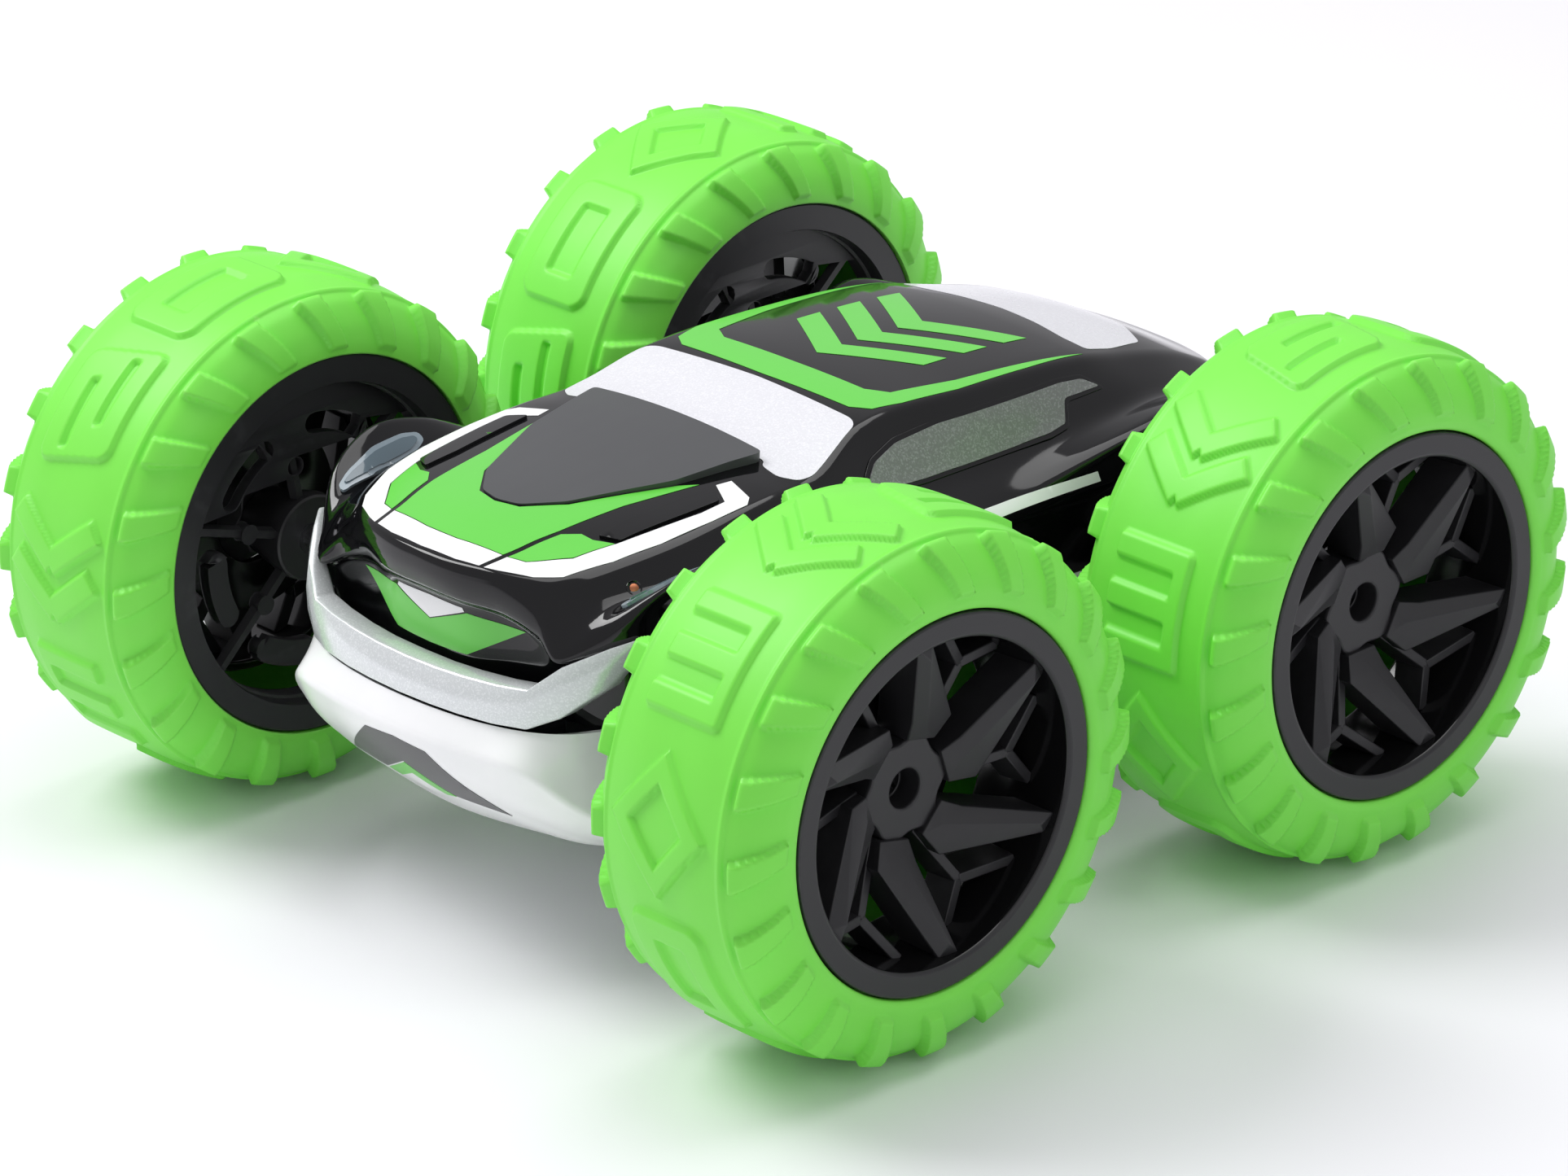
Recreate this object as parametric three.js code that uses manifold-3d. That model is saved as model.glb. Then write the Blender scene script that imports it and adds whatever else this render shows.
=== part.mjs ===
// Two-sided RC stunt car: four fat soft tyres, a low body that looks the same way up
// on either side, and one motor with a gear train for the pair of wheels on each side.
// Millimetres, +Z up, nose toward -Y, the car's left side toward +X.
import * as THREE from 'three';
import { mergeVertices } from 'three/addons/utils/BufferGeometryUtils.js';
import Module from 'manifold-3d';

const wasm = await Module();
wasm.setup();

// ---- driving dimensions ----
const AXLE_HEIGHT = 50;
const HALF_BASE = 58.8;
const WHEEL_X = 82.5;
const TYRE_R = 50;
const BEAD_R = 35.3;
const INNER_BEAD_R = 37.1;
const LUGS = 20;
const LUG_HEIGHT = 1.8;
const RING_R = 35;
const INNER_RING_R = 36.8;
const RING_X = 20.2;
const SPOKES = 6;
const SPOKE_TURN = [36, 50];
const HUB_DEPTH = 10;
const AXLE_R = 2;
const BORE_R = 2.35;
const GAP = 0.3;
const WALL = 1.8;
const SEAM = 0.2;

// gear train of one side, from the motor to the two axles
const TRAIN_MODULE = 2.1;
const AXLE_TEETH = 12;
const IDLER_TEETH = 16;
const HUB_TEETH = 12;
const FIRST_MODULE = 1.5;
const BIG_TEETH = 20;
const PINION_TEETH = 8;
const PINION_TURN = 25;
const TRAIN_X = [29.6, 33.4];
const FIRST_X = [25.6, 28.8];
const BOX_X = [23.2, 34.1];
const COVER_X = [34.4, 36.2];
const BOSS_END = 47.6;
const MOTOR_R = 9.8;
const MOTOR_LENGTH = 25;
const MOTOR_FLAT = 7.7;

// body
const DOOR = { halfWidth: 19, halfLength: 31, top: -36.4, bottom: -37.9 };
const CELL_R = 7.6;
const CELL_LENGTH = 54;
const FRAME_Z = [-5.2, -2.8];
const BELLY = 36;
const SWITCH_Y = 48;

// ---- materials ----
function plastic(color, roughness) {
  return new THREE.MeshStandardMaterial({ color, roughness, metalness: 0 });
}

function metal(color, roughness) {
  return new THREE.MeshStandardMaterial({ color, roughness, metalness: 1 });
}

const BLACK = 0x141516;
const GREEN = 0x6fd24a;
const WHITE = 0xe9ecec;

const car = new THREE.Group();
car.name = 'rc_stunt_car';

function add(name, geometry, material) {
  const mesh = new THREE.Mesh(geometry, material);
  mesh.name = name;
  mesh.position.z = AXLE_HEIGHT;
  car.add(mesh);
}

// ---- solids ----
function volume(geometry) {
  const p = geometry.attributes.position;
  const index = geometry.index;
  const [a, b, c] = [new THREE.Vector3(), new THREE.Vector3(), new THREE.Vector3()];
  let sum = 0;
  for (let i = 0; i < index.count; i += 3) {
    a.fromBufferAttribute(p, index.getX(i));
    b.fromBufferAttribute(p, index.getX(i + 1));
    c.fromBufferAttribute(p, index.getX(i + 2));
    sum += a.dot(b.cross(c));
  }
  return sum / 6;
}

function facingOut(source) {
  source.deleteAttribute('normal');
  source.deleteAttribute('uv');
  const geometry = mergeVertices(source, 1e-4);
  if (volume(geometry) < 0) {
    const index = geometry.index.array;
    for (let i = 0; i < index.length; i += 3) {
      [index[i], index[i + 1]] = [index[i + 1], index[i]];
    }
  }
  return geometry;
}

function solid(source) {
  const geometry = facingOut(source);
  const vertProperties = new Float32Array(geometry.attributes.position.array);
  const triVerts = new Uint32Array(geometry.index.array);
  return new wasm.Manifold(new wasm.Mesh({ numProp: 3, vertProperties, triVerts }));
}

function shaped(body) {
  const mesh = body.getMesh();
  const geometry = new THREE.BufferGeometry();
  const positions = new Float32Array((mesh.vertProperties.length / mesh.numProp) * 3);
  for (let i = 0; i < positions.length / 3; i += 1) {
    for (let k = 0; k < 3; k += 1) {
      positions[3 * i + k] = mesh.vertProperties[mesh.numProp * i + k];
    }
  }
  geometry.setAttribute('position', new THREE.BufferAttribute(positions, 3));
  geometry.setIndex(new THREE.BufferAttribute(new Uint32Array(mesh.triVerts), 1));
  return geometry;
}

function union(parts) {
  return parts.reduce((whole, part) => whole.add(part));
}

function less(body, cuts) {
  return cuts.reduce((rest, cut) => rest.subtract(cut), body);
}

function moved(body, x, y, z) {
  return body.translate([x, y, z]);
}

function flipped(body, side) {
  return side > 0 ? body : body.mirror([1, 0, 0]);
}

// ---- shapes ----
function outline(points) {
  return new THREE.Shape(points.map(([x, y]) => new THREE.Vector2(x, y)));
}

function circle(radius, segments, x = 0, y = 0) {
  const points = [];
  for (let i = 0; i < segments; i += 1) {
    const turn = (2 * Math.PI * (i + 0.5)) / segments;
    points.push([x + radius * Math.cos(turn), y + radius * Math.sin(turn)]);
  }
  return outline(points);
}

function extruded(shape, depth) {
  return new THREE.ExtrudeGeometry(shape, { depth, bevelEnabled: false, curveSegments: 8 });
}

const TO_X = new THREE.Matrix4().makeBasis(
  new THREE.Vector3(0, 1, 0),
  new THREE.Vector3(0, 0, 1),
  new THREE.Vector3(1, 0, 0),
);

// a shape drawn in (y, z), pushed from x0 to x1
function alongX(shape, x0, x1) {
  return solid(extruded(shape, x1 - x0).applyMatrix4(TO_X).translate(x0, 0, 0));
}

// a shape drawn in (x, y), pushed from z0 to z1
function alongZ(shape, z0, z1) {
  return solid(extruded(shape, z1 - z0).translate(0, 0, z0));
}

function box(x0, x1, y0, y1, z0, z1) {
  const geometry = new THREE.BoxGeometry(x1 - x0, y1 - y0, z1 - z0);
  return solid(geometry.translate((x0 + x1) / 2, (y0 + y1) / 2, (z0 + z1) / 2));
}

function rod(radius, segments, x0, x1, y = 0, z = 0) {
  return alongX(circle(radius, segments, y, z), x0, x1);
}

// a closed profile of [radius, x], turned about the X axis
function turned(profile, segments) {
  const points = [...profile, profile[0]].map(([r, x]) => new THREE.Vector2(r, x));
  return solid(new THREE.LatheGeometry(points, segments).rotateZ(-Math.PI / 2));
}

// rings of points joined into a closed body with a fan at each end
function loft(rings) {
  const count = rings[0].length;
  const positions = rings.flat(2);
  const index = [];
  const at = (ring, i) => ring * count + (i % count);
  for (let ring = 0; ring < rings.length - 1; ring += 1) {
    for (let i = 0; i < count; i += 1) {
      index.push(at(ring, i), at(ring, i + 1), at(ring + 1, i + 1));
      index.push(at(ring, i), at(ring + 1, i + 1), at(ring + 1, i));
    }
  }
  for (const end of [0, rings.length - 1]) {
    const middle = [0, 1, 2].map((k) => rings[end].reduce((sum, p) => sum + p[k], 0) / count);
    const centre = positions.length / 3;
    positions.push(...middle);
    for (let i = 0; i < count; i += 1) {
      const pair = end === 0 ? [at(end, i + 1), at(end, i)] : [at(end, i), at(end, i + 1)];
      index.push(centre, ...pair);
    }
  }
  const geometry = new THREE.BufferGeometry();
  geometry.setAttribute('position', new THREE.Float32BufferAttribute(positions, 3));
  geometry.setIndex(index);
  return solid(geometry);
}

// ---- gears ----
function gearOutline(teeth, module, phase) {
  const pitch = (teeth * module) / 2;
  const step = (2 * Math.PI) / teeth;
  const rows = [
    [pitch - 0.95 * module, -0.25],
    [pitch + 0.72 * module, -0.09],
    [pitch + 0.72 * module, 0.09],
    [pitch - 0.95 * module, 0.25],
  ];
  const points = [];
  for (let i = 0; i < teeth; i += 1) {
    for (const [radius, part] of rows) {
      const turn = phase + step * (i + part);
      points.push([radius * Math.cos(turn), radius * Math.sin(turn)]);
    }
  }
  return outline(points);
}

function gear(teeth, module, phase, x0, x1, bore) {
  const shape = gearOutline(teeth, module, phase);
  shape.holes.push(circle(bore, 8));
  return alongX(shape, x0, x1);
}

// ---- wheels ----
// [offset from the middle of the tread, radius, how far a lug lifts it]
const TYRE_OUTSIDE = [
  [0, TYRE_R, 0],
  [14.4, 48.6, 0],
  [16.2, 46.4, LUG_HEIGHT],
  [20.6, 39.6, 1.2],
  [20.6, BEAD_R + 0.4, 0],
];

const TYRE_INSIDE = [
  [18.2, BEAD_R],
  [11, 45.6],
  [-11, 45.6],
  [-18.2, INNER_BEAD_R],
];

function tyreSection(raised) {
  const out = TYRE_OUTSIDE.map(([x, r, lug]) => [x + raised * lug, r + raised * lug * 0.7, lug]);
  const back = TYRE_OUTSIDE.slice(1).reverse().map(([x, r, lug]) => {
    const bead = lug === 0 && r < 40 ? INNER_BEAD_R - BEAD_R : 0;
    return [-x - raised * lug, r + bead + raised * lug * 0.7, lug];
  });
  return [...out, ...TYRE_INSIDE.map(([x, r]) => [x, r, 0]), ...back];
}

function tyre() {
  const geometry = new THREE.BufferGeometry();
  const sections = [tyreSection(1), tyreSection(0)];
  const rows = sections[0].length;
  const columns = 2 * LUGS;
  const positions = [];
  for (let column = 0; column < columns; column += 1) {
    for (const [x, r, lug] of sections[column % 2]) {
      const lean = (lug * 0.03) * Math.sign(x || 1);
      const turn = (2 * Math.PI * column) / columns + lean;
      positions.push(x, r * Math.cos(turn), r * Math.sin(turn));
    }
  }
  const index = [];
  for (let column = 0; column < columns; column += 1) {
    const next = (column + 1) % columns;
    for (let row = 0; row < rows; row += 1) {
      const up = (row + 1) % rows;
      index.push(column * rows + row, next * rows + row, next * rows + up);
      index.push(column * rows + row, next * rows + up, column * rows + up);
    }
  }
  geometry.setAttribute('position', new THREE.Float32BufferAttribute(positions, 3));
  geometry.setIndex(index);
  return solid(geometry);
}

// one blade: wide and deep near the hub, narrow and near the face at the ring.
// rows of radius, degrees behind the tip, half width, back and front
function spoke(turn) {
  const rows = [
    [7, -24, 2.4, 1.5, 9.6],
    [14.5, -22, 4.5, 3.5, 11.6],
    [30.6, 0, 1.6, 9.5, 17.6],
  ];
  const rings = rows.map(([radius, lag, half, back, front]) => {
    const middle = turn + THREE.MathUtils.degToRad(lag);
    const place = (side, x) => [
      x,
      radius * Math.cos(middle) - side * half * Math.sin(middle),
      radius * Math.sin(middle) + side * half * Math.cos(middle),
    ];
    return [place(-1, back), place(1, back), place(0.6, front), place(-0.6, front)];
  });
  return loft(rings);
}

function outerRim() {
  const barrel = turned([
    [RING_R, RING_X],
    [30.4, RING_X],
    [29.2, 0],
    [30.8, 0],
    [32.2, 17.2],
    [RING_R, 17.6],
  ], 18);
  const face = RING_X - HUB_DEPTH;
  const hub = turned([
    [BORE_R, 4],
    [BORE_R, -1.8],
    [6.5, -1.8],
    [10, 3],
    [9.4, face],
    [3.6, face],
    [3.6, 4],
  ], 6);
  const web = turned([[7, 0.6], [19, 0.6], [19, 2.6], [7, 2.6]], 18);
  const parts = [barrel, hub, web];
  for (let i = 0; i < SPOKES; i += 1) {
    const turn = (2 * Math.PI * i) / SPOKES;
    parts.push(spoke(turn));
  }
  return union(parts);
}

function innerRim() {
  const disc = turned([
    [BORE_R, -15.5],
    [BORE_R, -2.4],
    [6.5, -2.4],
    [8, -13],
    [32.6, -13],
    [32.6, -17.4],
    [INNER_RING_R, -17.8],
    [INNER_RING_R, -RING_X],
    [31.4, -RING_X],
    [31.4, -15.5],
  ], 18);
  const slots = [];
  for (let i = 0; i < SPOKES; i += 1) {
    const slot = box(-16, -12.5, 14, 25, -4.5, 4.5);
    slots.push(slot.rotate([(360 * (i + 0.5)) / SPOKES, 0, 0]));
  }
  return less(disc, slots);
}

function axle() {
  return rod(AXLE_R, 12, BOX_X[0] + 2, WHEEL_X + 3.8);
}

function wheelScrew() {
  const head = rod(2.7, 8, WHEEL_X + 4.3, WHEEL_X + 6.6);
  const drive = box(WHEEL_X + 5.6, WHEEL_X + 7, -1.8, 1.8, -0.5, 0.5);
  return less(head, [drive]);
}

function buildWheel(tag, side, y) {
  const place = (body, x = 0) => shaped(moved(flipped(moved(body, x, 0, 0), side), 0, y, 0));
  const parked = (body) => body.rotate([y < 0 ? SPOKE_TURN[0] : SPOKE_TURN[1], 0, 0]);
  add(`tyre_${tag}`, place(tyre(), WHEEL_X), plastic(GREEN, 0.55));
  add(`rim_outer_${tag}`, place(parked(outerRim()), WHEEL_X), plastic(BLACK, 0.35));
  add(`rim_inner_${tag}`, place(innerRim(), WHEEL_X), plastic(0x18191a, 0.5));
  add(`axle_${tag}`, place(axle()), metal(0xb4b6b8, 0.3));
  add(`wheel_screw_${tag}`, place(wheelScrew()), metal(0x8f9194, 0.4));
  const phase = Math.PI / AXLE_TEETH;
  const wheelGear = gear(AXLE_TEETH, TRAIN_MODULE, phase, TRAIN_X[0], TRAIN_X[1], BORE_R);
  add(`axle_gear_${tag}`, place(wheelGear), plastic(0xe4e0d0, 0.5));
}

// ---- drive of one side ----
function pinionCentre(direction) {
  const distance = (FIRST_MODULE * (BIG_TEETH + PINION_TEETH)) / 2 + 0.15;
  const turn = THREE.MathUtils.degToRad(PINION_TURN);
  return [direction * distance * Math.cos(turn), distance * Math.sin(turn)];
}

function boxOutline(inset) {
  const [y1, y2, y3] = [75.4 - inset, 67.5 - 0.6 * inset, 46 - 0.3 * inset];
  const [z1, z2, z3] = [9 - 0.4 * inset, 16 - 0.9 * inset, 20 - inset];
  const quarter = [[y1, z1], [y2, z2], [y3, z3]];
  const back = [...quarter].reverse();
  return outline([
    ...quarter,
    ...back.map(([y, z]) => [-y, z]),
    ...quarter.map(([y, z]) => [-y, -z]),
    ...back.map(([y, z]) => [y, -z]),
  ]);
}

function gearboxHousing(direction) {
  const outside = alongX(boxOutline(0), BOX_X[0], BOX_X[1]);
  const inside = alongX(boxOutline(1.2), BOX_X[0] + 1.6, BOX_X[1] + 1);
  const [py, pz] = pinionCentre(direction);
  const centre = HALF_BASE / 2;
  const pins = [-centre, centre].map((y) => rod(AXLE_R, 10, BOX_X[0] + 1, 33.8, y, 0));
  pins.push(rod(AXLE_R, 10, BOX_X[0] + 1, 33.8));
  const bearings = [-HALF_BASE, HALF_BASE].map((y) => rod(5, 12, BOX_X[0] + 1, 28.6, y, 0));
  const bores = [-HALF_BASE, HALF_BASE].map((y) => rod(BORE_R, 10, BOX_X[0] + 1.8, 29, y, 0));
  bores.push(rod(3.4, 12, BOX_X[0] - 1, BOX_X[0] + 3, py, pz));
  return less(union([less(outside, [inside]), ...pins, ...bearings]), bores);
}

function gearboxCover() {
  const plate = alongX(boxOutline(0.6), COVER_X[0], COVER_X[1]);
  const bosses = [-HALF_BASE, HALF_BASE].map((y) => rod(4.2, 12, COVER_X[0] + 0.5, BOSS_END, y, 0));
  const bores = [-HALF_BASE, HALF_BASE].map((y) => rod(BORE_R, 10, COVER_X[0] - 1, BOSS_END + 1, y, 0));
  return less(union([plate, ...bosses]), bores);
}

function motor() {
  const end = BOX_X[0] - GAP;
  const can = rod(MOTOR_R, 24, end - MOTOR_LENGTH, end);
  const flats = [
    box(end - MOTOR_LENGTH - 1, end + 1, -12, 12, MOTOR_FLAT, 12),
    box(end - MOTOR_LENGTH - 1, end + 1, -12, 12, -12, -MOTOR_FLAT),
  ];
  const nose = rod(3, 12, end - 0.5, end + 1.4);
  const tail = rod(3, 12, end - MOTOR_LENGTH - 1.8, end - MOTOR_LENGTH + 0.5);
  const shaftHole = rod(1.3, 8, end - 4, end + 2);
  return less(union([less(can, flats), nose, tail]), [shaftHole]);
}

function pinion(phase) {
  const teeth = alongX(gearOutline(PINION_TEETH, FIRST_MODULE, phase), FIRST_X[0], FIRST_X[1]);
  return union([teeth, rod(1, 8, BOX_X[0] - 3.8, FIRST_X[0] + 0.5)]);
}

function doubleGear(bigPhase) {
  const big = gear(BIG_TEETH, FIRST_MODULE, bigPhase, FIRST_X[0], FIRST_X[1], BORE_R);
  const small = gear(HUB_TEETH, TRAIN_MODULE, Math.PI / HUB_TEETH, FIRST_X[1] - 0.5, TRAIN_X[1], BORE_R);
  return big.add(small);
}

function buildDrive(tag, side, direction) {
  const place = (body, y = 0, z = 0) => shaped(moved(flipped(body, side), 0, y, z));
  const idlerY = HALF_BASE / 2;
  const [py, pz] = pinionCentre(direction);
  const line = Math.atan2(pz, py);
  const nylon = plastic(0xe4e0d0, 0.5);
  add(`gearbox_housing_${tag}`, place(gearboxHousing(direction)), plastic(0x232527, 0.6));
  add(`gearbox_cover_${tag}`, place(gearboxCover()), plastic(0x1c1d1f, 0.6));
  add(`motor_${tag}`, place(motor(), py, pz), metal(0xa9abad, 0.35));
  const pinionPhase = line + Math.PI + Math.PI / PINION_TEETH;
  add(`pinion_${tag}`, place(pinion(pinionPhase), py, pz), metal(0xc8a45a, 0.35));
  add(`double_gear_${tag}`, place(doubleGear(line)), nylon.clone());
  for (const [end, y] of [['front', -idlerY], ['rear', idlerY]]) {
    const idler = gear(IDLER_TEETH, TRAIN_MODULE, 0, TRAIN_X[0], TRAIN_X[1], BORE_R);
    add(`idler_gear_${end}_${tag}`, place(idler, y), nylon.clone());
  }
}

// ---- body ----
// ribs from nose to tail: middle line, edge of the bonnet or roof, fold, wing crest, side, seam
const UPPER_RIBS = [
  [[0, -87.6, 26.8], [9, -88.8, 26.1], [9.4, -89.4, 22.5], [9.5, -88.5, 18.7], [9.3, -86.2, 18], [9, -86]],
  [[0, -85, 27.4], [17.5, -86.4, 26], [18.4, -87, 22], [19, -85.8, 17.8], [18.5, -83.6, 17.2], [18.5, -83.6]],
  [[0, -82, 28.2], [23.8, -83, 25.4], [25.4, -84.6, 21], [26.6, -84.8, 15.6], [25.4, -82.4, 15], [26, -82]],
  [[0, -79, 28.8], [27.2, -79.4, 25.3], [29.5, -82.4, 20], [32.6, -86, 12.9], [31.4, -82.5, 12.2], [33, -81]],
  [[0, -75.5, 29.6], [29.6, -75.5, 25.9], [33, -78.5, 20.5], [37, -80.5, 17], [39.6, -78, 12], [39.6, -77]],
  [[0, -70, 30.3], [31.5, -69.8, 27], [36, -71.5, 21.5], [42, -72, 23.6], [43.5, -71.5, 14], [43, -71]],
  [[0, -60, 31.2], [33.4, -60, 28.1], [39, -60.5, 21.8], [46.6, -60.5, 27.2], [48.6, -60.5, 16], [45.5, -60]],
  [[0, -48, 31.9], [33.8, -48, 29.2], [38.6, -48, 22.2], [47, -48, 26.4], [48.4, -48, 16], [46, -48]],
  [[0, -34, 32.7], [33.6, -34, 30], [37.4, -34, 23], [44.6, -34, 21.4], [46.4, -34, 15.5], [45.8, -34]],
  [[0, -23, 33.4], [33, -23, 30.4], [36.6, -21, 24], [43.4, -22, 19.6], [45.6, -22, 16], [45.5, -22]],
  [[0, -8, 36.5], [29.2, -8, 35.4], [36, -8, 23], [43, -8, 18.8], [45.5, -8, 16], [45.5, -8]],
  [[0, 20, 36.8], [29.5, 20, 35.2], [36.4, 20, 22.6], [43, 20, 18.8], [45.5, 20, 16], [45.5, 20]],
  [[0, 50, 34.6], [28.2, 50, 32.8], [35.6, 50, 23.4], [45.6, 50, 24], [47.6, 50, 16], [46, 50]],
  [[0, 62, 32], [26.8, 62, 29.9], [35.4, 62, 23], [46.4, 62, 26.4], [48.4, 62, 16], [46, 62]],
  [[0, 78, 27.6], [25.6, 78, 25.6], [33.4, 78, 20.5], [41.5, 78, 20.5], [44, 78, 13], [43, 78]],
  [[0, 88.6, 22.4], [24.6, 88.6, 21], [30, 88.8, 17.5], [36, 88.6, 14.5], [38.5, 88.2, 9], [38, 87]],
  [[0, 91.6, 21.2], [14, 92.4, 20.3], [18, 91.8, 16], [22, 91.4, 12], [24, 88.6, 8], [24, 87]],
];

// ribs of the white side, upside down: middle line, edge of the belly, slope, ridge, seam
const LOWER_RIBS = [
  [[0, -86, 22.6], [9.5, -90, 18.4], [10, -94.2, 12.5], [10, -96.6, 5.5], [9.5, -94]],
  [[0, -82, 26], [18, -87.6, 19.6], [20, -92.6, 13], [20, -95.4, 5.6], [19.5, -92.4]],
  [[0, -77, 28.6], [24.6, -83.4, 22.5], [29.5, -89.6, 15], [30.6, -93.2, 6], [28.8, -89]],
  [[0, -70, 30.6], [29.5, -77.5, 25.5], [36, -83, 19], [38.6, -85.4, 14], [34.5, -84.6]],
  [[0, -62, 32], [32, -69, 28], [40.5, -73, 23.5], [43, -76, 19], [39, -79]],
  [[0, -52, 33.6], [33.4, -60, 30], [43.5, -62, 25.6], [46.6, -64, 20], [42, -71]],
  [[0, -44, 35], [33.6, -48, 32.5], [44, -48, 25], [48, -50, 18], [46, -48]],
  [[0, -38, BELLY], [33, -38, BELLY], [42.5, -36, 23], [47, -36, 16], [45.8, -34]],
  [[0, -8, BELLY], [31, -8, BELLY], [41.5, -8, 22], [46, -8, 15], [45.5, -8]],
  [[0, 20, BELLY], [31, 20, BELLY], [41.5, 20, 22], [46, 20, 15], [45.5, 20]],
  [[0, 52, BELLY], [30, 50, BELLY], [43, 50, 24], [47.6, 50, 16], [46, 50]],
  [[0, 66, 33], [28.5, 64, 32], [43.5, 62, 25], [48, 62, 19], [46, 62]],
  [[0, 80, 28.6], [26, 79, 27], [40, 78, 21.5], [44.5, 78, 16], [43, 78]],
  [[0, 88.6, 22.5], [24.6, 88.4, 20], [36, 89, 15.5], [39.5, 90, 9], [38, 88]],
  [[0, 90, 20.8], [15, 90.6, 18.4], [20.5, 93.4, 12.5], [21, 95.4, 5.5], [20, 93.4]],
];

// a closed loft through the ribs, drawn in by inset, with its seam edge at the floor height
function ribLoft(ribs, inset, floor) {
  const drawnIn = 1 - inset / 90;
  const rings = ribs.map((rib) => {
    const points = rib.map(([x, y, z], i) => {
      const height = i === rib.length - 1 ? floor : Math.max(z - inset, floor + 0.5);
      return [Math.max(x - inset, 0), y * drawnIn, height];
    });
    const [middle, ...right] = points;
    const left = right.map(([x, y, z]) => [-x, y, z]).reverse();
    return [middle, ...right, ...left];
  });
  return loft(rings);
}

// a shell of one wall thickness with the clearance holes of the two axles
function hollowBody(ribs) {
  const outside = ribLoft(ribs, 0, SEAM);
  const inside = ribLoft(ribs, WALL, SEAM - 1);
  const axleHoles = [-HALF_BASE, HALF_BASE].map((y) => rod(5, 10, -60, 60, y, 0));
  return less(outside, [inside, ...axleHoles]);
}

// side windows: outline in (y, z) with a stepped rear end
const WINDOW = [
  [-12.5, 25], [2.5, 24.4], [34, 24.3], [38.6, 24.8], [40.4, 28.2], [51, 27.6],
  [47, 29.9], [41, 30.6], [9, 31.6], [0, 30.8], [-10.5, 27.6],
];

// headlamp lens: outline in (x, y) on the inner flank of the wing
const LAMP = [
  [39.6, -70.5], [41, -71], [42.6, -67.5], [44, -60.5], [44.2, -52.5], [43.4, -50], [41, -53.5], [39.6, -62],
];

function grown(points, distance) {
  const count = points.length;
  const ahead = outline(points);
  const turn = THREE.ShapeUtils.area(ahead.getPoints()) > 0 ? 1 : -1;
  return points.map((point, i) => {
    const before = points[(i + count - 1) % count];
    const after = points[(i + 1) % count];
    const a = new THREE.Vector2(point[0] - before[0], point[1] - before[1]).normalize();
    const b = new THREE.Vector2(after[0] - point[0], after[1] - point[1]).normalize();
    const out = new THREE.Vector2(a.y + b.y, -a.x - b.x).multiplyScalar(turn);
    out.normalize().multiplyScalar(distance / Math.sqrt(0.5 + 0.5 * a.dot(b)));
    return [point[0] + out.x, point[1] + out.y];
  });
}

function windowBlock(distance) {
  return alongX(outline(grown(WINDOW, distance)), 29, 40);
}

function lampBlock(distance) {
  return alongZ(outline(grown(LAMP, distance)), 14, 34);
}

// raised panel in the middle of the bonnet: outline in (x, y)
const SCOOP = [
  [0, -68.5], [6, -66.5], [12, -60], [20, -45], [22.6, -27],
  [-22.6, -27], [-20, -45], [-12, -60], [-6, -66.5],
];

function scoop() {
  const area = alongZ(outline(SCOOP), 20, 40);
  const skin = ribLoft(UPPER_RIBS, 0, SEAM);
  const raised = moved(skin, 0, 0, 1.5);
  const under = moved(skin, 0, 0, GAP);
  return less(raised.intersect(area), [under]);
}

// band round an end of the body, middle to side: x, front edge below [y, z], above [y, z], back y
const HALF_BAND = [
  [0, [-94.8, SEAM], [-92.8, 7], -88],
  [15, [-93.8, SEAM], [-91.9, 7.2], -87.2],
  [28.8, [-89.8, 0.4], [-89.4, 8], -84.6],
  [34.2, [-86.8, 3.2], [-86.2, 12.9], -82.2],
  [40, [-81.2, 8.8], [-80, 16.4], -77],
  [43, [-76.6, 14.4], [-76.2, 17.8], -74.6],
];

function bandRows() {
  const left = HALF_BAND.slice(1).reverse().map(([x, ...rest]) => [-x, ...rest]);
  return [...left, ...HALF_BAND];
}

function band() {
  return loft(bandRows().map(([x, [y0, z0], [y1, z1], back]) => [
    [x, y0, z0],
    [x, y1, z1],
    [x, back, z1],
    [x, back, z0],
  ]));
}

// the room that the band needs in the shell, left open to the front and past both ends
function bandRoom() {
  const rows = bandRows();
  const [first, last] = [rows[0], rows[rows.length - 1]];
  const wide = [[first[0] - 4, ...first.slice(1)], ...rows, [last[0] + 4, ...last.slice(1)]];
  return loft(wide.map(([x, [y0, z0], [, z1], back]) => [
    [x, y0 - 12, z0 - 3],
    [x, y0 - 12, z1 + GAP],
    [x, back + GAP, z1 + GAP],
    [x, back + GAP, z0 - 3],
  ]));
}

function upperShell(whole) {
  const cuts = [bandRoom(), bandRoom().mirror([0, 1, 0])];
  for (const side of [1, -1]) {
    cuts.push(flipped(windowBlock(0), side), flipped(lampBlock(0), side));
  }
  return less(whole, cuts);
}

function lowerShell() {
  const tray = hollowBody(LOWER_RIBS).mirror([0, 0, 1]);
  const hatch = box(-DOOR.halfWidth + 3, DOOR.halfWidth - 3, -28, 28, -40, -30);
  const slot = box(-3.2, 3.2, SWITCH_Y - 0.6, SWITCH_Y + 8, -40, -30);
  return less(tray, [hatch, slot]);
}

function batteryDoor() {
  const { halfWidth, halfLength, top, bottom } = DOOR;
  const plate = box(-halfWidth, halfWidth, -halfLength, halfLength, bottom, top);
  const ribs = [20, 22.5, 25].map((y) => box(-8, 8, y, y + 1.1, bottom - 0.8, bottom + 0.4));
  const guides = [-1, 1].map((side) => {
    const x = side * (halfWidth - 4.6);
    return box(x - 0.8, x + 0.8, -18, 18, top - 0.5, top + 2);
  });
  return union([plate, ...ribs, ...guides]);
}

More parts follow.
